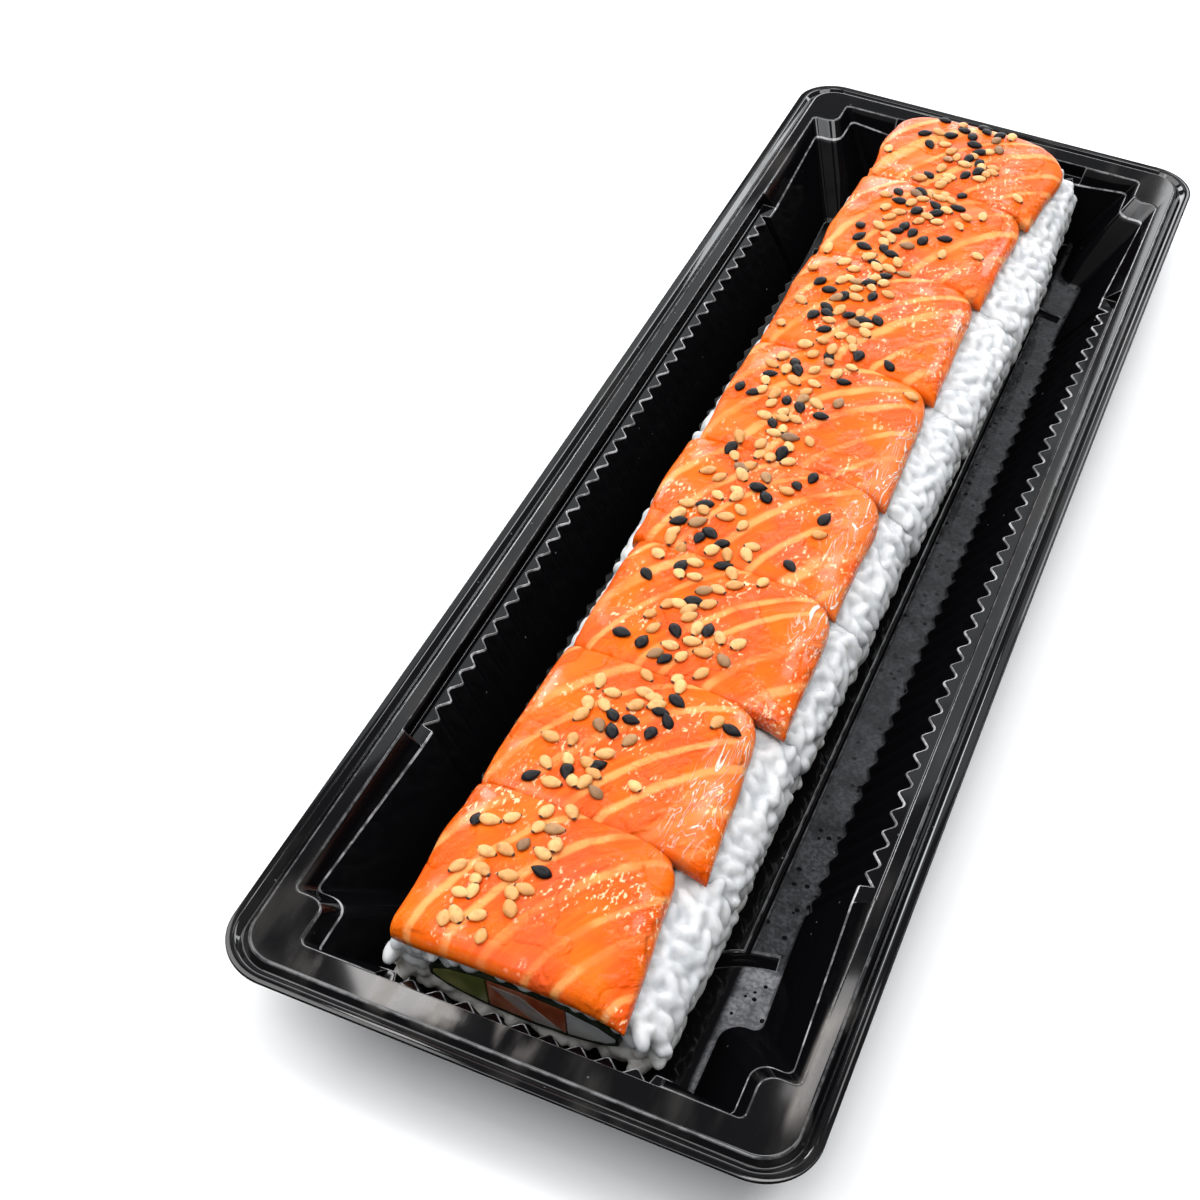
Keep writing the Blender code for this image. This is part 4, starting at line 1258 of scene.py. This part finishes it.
# %% Material of the seaweed
def make_seaweed():
    """Almost black green, with fine pores and a dull sheen."""
    material, tree, shader = new_material("roasted_seaweed", Roughness=0.42, Specular_IOR_Level=0.4)
    place = place_in_space(tree)
    cloud = use_group(tree, SOFT_CLOUDS, Place=place, Scale=420.0, Detail=5.0, Low=0.35, High=0.65)
    colour = blend(tree, cloud, (0.006, 0.010, 0.006), (0.022, 0.030, 0.014))
    tree.links.new(colour, shader.inputs["Base Color"])
    pores = use_group(tree, FINE_DOTS, Place=place, Scale=1500.0, Size=0.35, Share=0.5)
    bend_normal(tree, shader, pores, 0.4, 0.0001)
    return material


seaweed_black = make_seaweed()
print("material:", seaweed_black.name)

# %% Materials of the fillings
def make_filling(name, dark, pale, scale, stretch):
    """A soft moist filling with streaks of two tones."""
    material, tree, shader = new_material(
        name, Roughness=0.32, Subsurface_Weight=0.25, Subsurface_Scale=0.0015, Specular_IOR_Level=0.5)
    place = stretched(tree, place_in_space(tree), 0.3, stretch)
    cloud = use_group(tree, SOFT_CLOUDS, Place=place, Scale=scale, Detail=4.0, Low=0.36, High=0.66)
    tree.links.new(blend(tree, cloud, dark, pale), shader.inputs["Base Color"])
    wet = use_group(tree, WET_SKIN, Place=place, Scale=500.0, Wrinkles=0.5)
    bend_normal(tree, shader, wet, 0.4, 0.0002)
    return material


# The fillings' colours are kept dark: painted shade, as on a cut end that lies in shadow.
avocado_green = make_filling("ripe_avocado", (0.15, 0.17, 0.04), (0.34, 0.33, 0.12), 160.0, 1.0)
salmon_filling = make_filling(
    "salmon_filling", (0.36, 0.07, 0.025), (0.50, 0.18, 0.10), 240.0, 1.6)
pale_fish = make_filling("pale_fish", (0.36, 0.29, 0.27), (0.50, 0.45, 0.43), 260.0, 1.4)
FINISHES = {
    "seaweed": seaweed_black, "avocado": avocado_green, "salmon": salmon_filling,
    "white_fish": pale_fish, "inner_rice": rice_white,
}
for kind, finish in FINISHES.items():
    for piece in pieces:
        node = bpy.data.objects[f"{kind}_{piece.number}"]
        node.data.materials.clear()
        node.data.materials.append(finish)
print("finished CAD nodes:", len(FINISHES) * PIECES)

# %% [markdown]
# ## Sesame seeds
#
# Toasted white sesame is a beige drop with a dark tip, black sesame is the same
# drop in a duller black. They fall in a band down the middle that is thin at
# the near end and thick at the far end. Each seed is dropped onto the fish by a
# ray, so that it lies on the surface at the angle of the surface.

# %% Materials of the seeds
def make_seed(name, body, pale, tip, tip_start, shine):
    """A waxy seed with a darker tip."""
    material, tree, shader = new_material(
        name, Roughness=0.36, Specular_IOR_Level=shine, Subsurface_Weight=0.12, Subsurface_Scale=0.0008)
    place = place_in_space(tree)
    along, shade = read_mask(tree, "along"), read_mask(tree, "shade")
    colour = blend(tree, shade, body, pale)
    speckle = use_group(tree, SOFT_CLOUDS, Place=place, Scale=900.0, Detail=3.0, Low=0.45, High=0.75)
    colour = blend(tree, multiply(tree, speckle, 0.3), colour, tip)
    first_end = calculate(tree, "LESS_THAN", along, 0.06)
    two_tipped = calculate(tree, "GREATER_THAN", shade, 0.55)
    tips = rise(tree, along, tip_start, tip_start + 0.05)
    mask = calculate(tree, "MAXIMUM", tips, multiply(tree, first_end, two_tipped))
    tree.links.new(blend(tree, mask, colour, tip), shader.inputs["Base Color"])
    skin = use_group(tree, WET_SKIN, Place=place, Scale=1500.0, Wrinkles=0.6)
    bend_normal(tree, shader, skin, 0.5, 0.00012)
    return material


beige_seed = make_seed(
    "toasted_sesame", body=(0.60, 0.26, 0.065), pale=(0.78, 0.44, 0.16),
    tip=(0.045, 0.020, 0.012), tip_start=0.88, shine=0.35)
black_seed = make_seed(
    "black_sesame", body=(0.003, 0.003, 0.004), pale=(0.007, 0.007, 0.009),
    tip=(0.030, 0.024, 0.020), tip_start=0.95, shine=0.14)
brown_seed = make_seed(
    "brown_sesame", body=(0.20, 0.10, 0.045), pale=(0.40, 0.21, 0.08),
    tip=(0.03, 0.015, 0.01), tip_start=0.92, shine=0.30)
print("materials:", beige_seed.name, black_seed.name, brown_seed.name)

# %% The seeds and their band
SEED_PROFILE = (
    (0.0, 0.0), (0.02, 0.16), (0.08, 0.48), (0.18, 0.76), (0.32, 0.97), (0.46, 1.0),
    (0.60, 0.92), (0.74, 0.73), (0.86, 0.48), (0.94, 0.27), (0.985, 0.16), (1.0, 0.0),
)
SEED = turned(SEED_PROFILE, segments=12)
SEED_LENGTH, SEED_WIDTH, SEED_HEIGHT = 3.4, 2.15, 1.15
SEED_COUNTS = (26, 38, 36, 40, 42, 46, 46, 40)
DARK_SHARES = (0.10, 0.27, 0.30, 0.30, 0.26, 0.30, 0.30, 0.30)
BROWN_SHARE = 0.05
BAND_CENTRES = (
    (-122.0, -13.5), (-104.3, -12.9), (-78.6, -8.1), (-62.3, -3.5), (-34.5, -8.5), (-12.4, -9.4),
    (6.3, -8.6), (33.2, -7.8), (51.2, -7.6), (74.8, -6.5), (101.3, -3.4), (125.0, -2.0),
)
BAND_SPREAD, STRAY_SHARE, STRAY_SPREAD, SEED_DRAWS = 3.7, 0.15, 8.5, 23
SEED_LEFT, SEED_RIGHT, SEED_GAPS = -19.0, 13.0, (1.5, 2.3, 2.6)
SEED_SIZES, SEED_TILT, SEED_LIFT, DROP_HEIGHT = (0.88, 1.08), 0.10, 0.30, 90.0


def band_centre(y):
    """The middle of the band of seeds across the tray."""
    ys, xs = zip(*BAND_CENTRES)
    return float(np.interp(y, ys, xs))


print("seeds to place:", sum(SEED_COUNTS))

# %% Drop the seeds on the fish
def fish_surface():
    """One search tree over all the slices."""
    verts, faces = [], []
    for obj in slices:
        start = len(verts)
        verts += [vert.co.copy() for vert in obj.data.vertices]
        faces += [[start + i for i in face.vertices] for face in obj.data.polygons]
    return BVHTree.FromPolygons(verts, faces)


def seed_places(rng):
    """Places over the fish, each with its kind."""
    places = []
    for piece in pieces:
        made = 0
        while made < SEED_COUNTS[piece.index]:
            y = piece.middle + rng.uniform(-0.5, 0.5) * piece.length
            width = STRAY_SPREAD if rng.random() < STRAY_SHARE else BAND_SPREAD
            x = band_centre(y) + rng.gauss(0.0, width)
            gap = rng.choice(SEED_GAPS)
            inside = SEED_LEFT < x < SEED_RIGHT
            if not inside or any(math.dist((x, y), place[:2]) < gap for place in places):
                continue
            draw = rng.random()
            dark = DARK_SHARES[piece.index]
            kind = "black" if draw < dark else "brown" if draw < dark + BROWN_SHARE else "beige"
            places.append((x, y, kind))
            made += 1
    return places


def scatter_seeds():
    """One joined piece for each kind of seed."""
    rng = random.Random(SEED_DRAWS)
    surface = fish_surface()
    heaps = {"beige": Heap(), "black": Heap(), "brown": Heap()}
    for x, y, kind in seed_places(rng):
        above = Vector((x, y, DROP_HEIGHT)) * MM
        spot, normal, _, _ = surface.ray_cast(above, Vector((0.0, 0.0, -1.0)))
        if spot is None:
            continue
        size = np.array((SEED_LENGTH, SEED_WIDTH, SEED_HEIGHT)) * rng.uniform(*SEED_SIZES)
        turn = turn_to(normal, rng.uniform(0.0, 2 * math.pi), rng.gauss(0.0, SEED_TILT))
        lifted = spot / MM + normal * (SEED_HEIGHT * SEED_LIFT)
        heaps[kind].add_copy(SEED, size, turn, tuple(lifted), rng.random())
    finishes = {"beige": beige_seed, "black": black_seed, "brown": brown_seed}
    return [heap.finish(f"sesame_{kind}", finishes[kind], "rice") for kind, heap in heaps.items()]


seeds = scatter_seeds()
print("seeds:", [(obj.name, len(obj.data.polygons)) for obj in seeds])

# %% [markdown]
# ## Floor, light and camera
#
# The tray is photographed on white paper under soft lamps. A black gloss is
# nothing but its reflections, so each lamp has one job. A softbox, a strip and a
# narrow streak stand behind the tray, where the flange mirrors them towards the
# camera. Two edge lamps draw lines along the rims, and two small glints brighten
# the near end and the right side. The lamps overhead and in front light the food
# and the paper from where little of the plastic mirrors them.

# %% The floor
FLOOR_HALF = 3.0


def build_floor():
    """A wide plain sheet of white paper."""
    material, tree, shader = new_material("white_paper", Roughness=0.9, Specular_IOR_Level=0.1)
    place = place_in_space(tree)
    cloud = use_group(tree, SOFT_CLOUDS, Place=place, Scale=30.0, Detail=2.0, Low=0.2, High=0.8)
    colour = blend(tree, cloud, (0.90, 0.90, 0.90), (0.915, 0.915, 0.915))
    tree.links.new(colour, shader.inputs["Base Color"])
    mesh = bpy.data.meshes.new("floor_paper")
    corners = [(x * FLOOR_HALF, y * FLOOR_HALF, 0.0) for x, y in ((-1, -1), (1, -1), (1, 1), (-1, 1))]
    mesh.from_pydata(corners, [], [(0, 1, 2, 3)])
    floor = new_object("floor_paper", mesh, material)
    return floor


floor = build_floor()
print("made", floor.name)

# %% Lamps and world
LAMP_TARGET = Vector((0.0, 0.0, 0.01))


def add_lamp(name, size, power, spot, colour):
    """A rectangular lamp that points at the tray; metres, watts, and a tint."""
    data = bpy.data.lights.new(name, "AREA")
    data.shape = "RECTANGLE"
    data.size, data.size_y = size
    data.energy = power
    data.color = colour
    lamp = bpy.data.objects.new(name, data)
    lamp.location = spot
    lamp.rotation_euler = (LAMP_TARGET - Vector(spot)).to_track_quat("-Z", "Y").to_euler()
    bpy.context.scene.collection.objects.link(lamp)
    return lamp


LAMPS = (
    ("softbox_behind", (0.75, 0.5), 1.0, (-0.36, 0.95, 0.92), (0.93, 0.97, 1.0)),
    ("streak_right", (0.06, 0.40), 0.36, (0.01, 1.10, 0.80), (0.97, 0.98, 1.0)),
    ("overhead", (0.85, 0.85), 9.5, (-0.72, 0.10, 0.98), (1.0, 1.0, 1.0)),
    ("small_overhead", (0.30, 0.30), 2.5, (0.06, 0.24, 1.10), (1.0, 1.0, 1.0)),
    ("middle_overhead", (0.26, 0.26), 1.2, (-0.26, 0.06, 1.05), (1.0, 1.0, 1.0)),
    ("right_overhead", (0.7, 0.3), 3.5, (0.45, 0.05, 1.0), (1.0, 1.0, 1.0)),
    ("edge_lamp_right", (0.30, 0.8), 5.5, (0.36, 0.95, 0.80), (0.95, 0.98, 1.0)),
    ("edge_lamp_left", (0.24, 0.6), 4.5, (-0.95, 0.85, 0.52), (0.95, 0.98, 1.0)),
    ("strip_behind", (0.9, 0.5), 7.0, (-0.34, 1.35, 0.38), (0.97, 0.98, 1.0)),
    ("glint_near", (0.07, 0.06), 0.13, (-0.325, 0.437, 0.958), (1.0, 0.98, 0.97)),
    ("glint_right", (0.04, 0.09), 0.055, (-0.035, 0.50, 0.93), (1.0, 0.98, 0.97)),
    ("front_fill", (0.9, 0.9), 11.0, (-0.15, -0.75, 1.25), (0.97, 0.98, 1.0)),
)
for lamp in LAMPS:
    add_lamp(*lamp)
print("lamps:", [lamp[0] for lamp in LAMPS])

# %% A dim, slightly blue room
ROOM_COLOUR, ROOM_STRENGTH = (0.92, 0.96, 1.0, 1.0), 0.16
world = bpy.data.worlds.new("studio")
world.use_nodes = True
room = world.node_tree.nodes["Background"]
room.inputs["Color"].default_value = ROOM_COLOUR
room.inputs["Strength"].default_value = ROOM_STRENGTH
bpy.context.scene.world = world
bpy.context.scene.view_settings.view_transform = "Standard"
print("room light:", ROOM_STRENGTH)

# %% Camera
CAMERA_SPOT, CAMERA_LENS, SENSOR_WIDTH = (0.05985, -0.2681, 0.2524), 59.75, 36.0
CAMERA_RIGHT, CAMERA_DOWN = Vector((0.9195, 0.3899, 0.0498)), Vector((0.3077, -0.635, -0.7086))
back = CAMERA_RIGHT.cross(-CAMERA_DOWN).normalized()
right = CAMERA_RIGHT.normalized()
camera_data = bpy.data.cameras.new("camera")
camera_data.lens, camera_data.sensor_width = CAMERA_LENS, SENSOR_WIDTH
camera = bpy.data.objects.new("camera", camera_data)
turn = Matrix((right, back.cross(right), back)).transposed()
camera.matrix_world = Matrix.Translation(CAMERA_SPOT) @ turn.to_4x4()
bpy.context.scene.collection.objects.link(camera)
bpy.context.scene.camera = camera
print("camera at", CAMERA_SPOT)
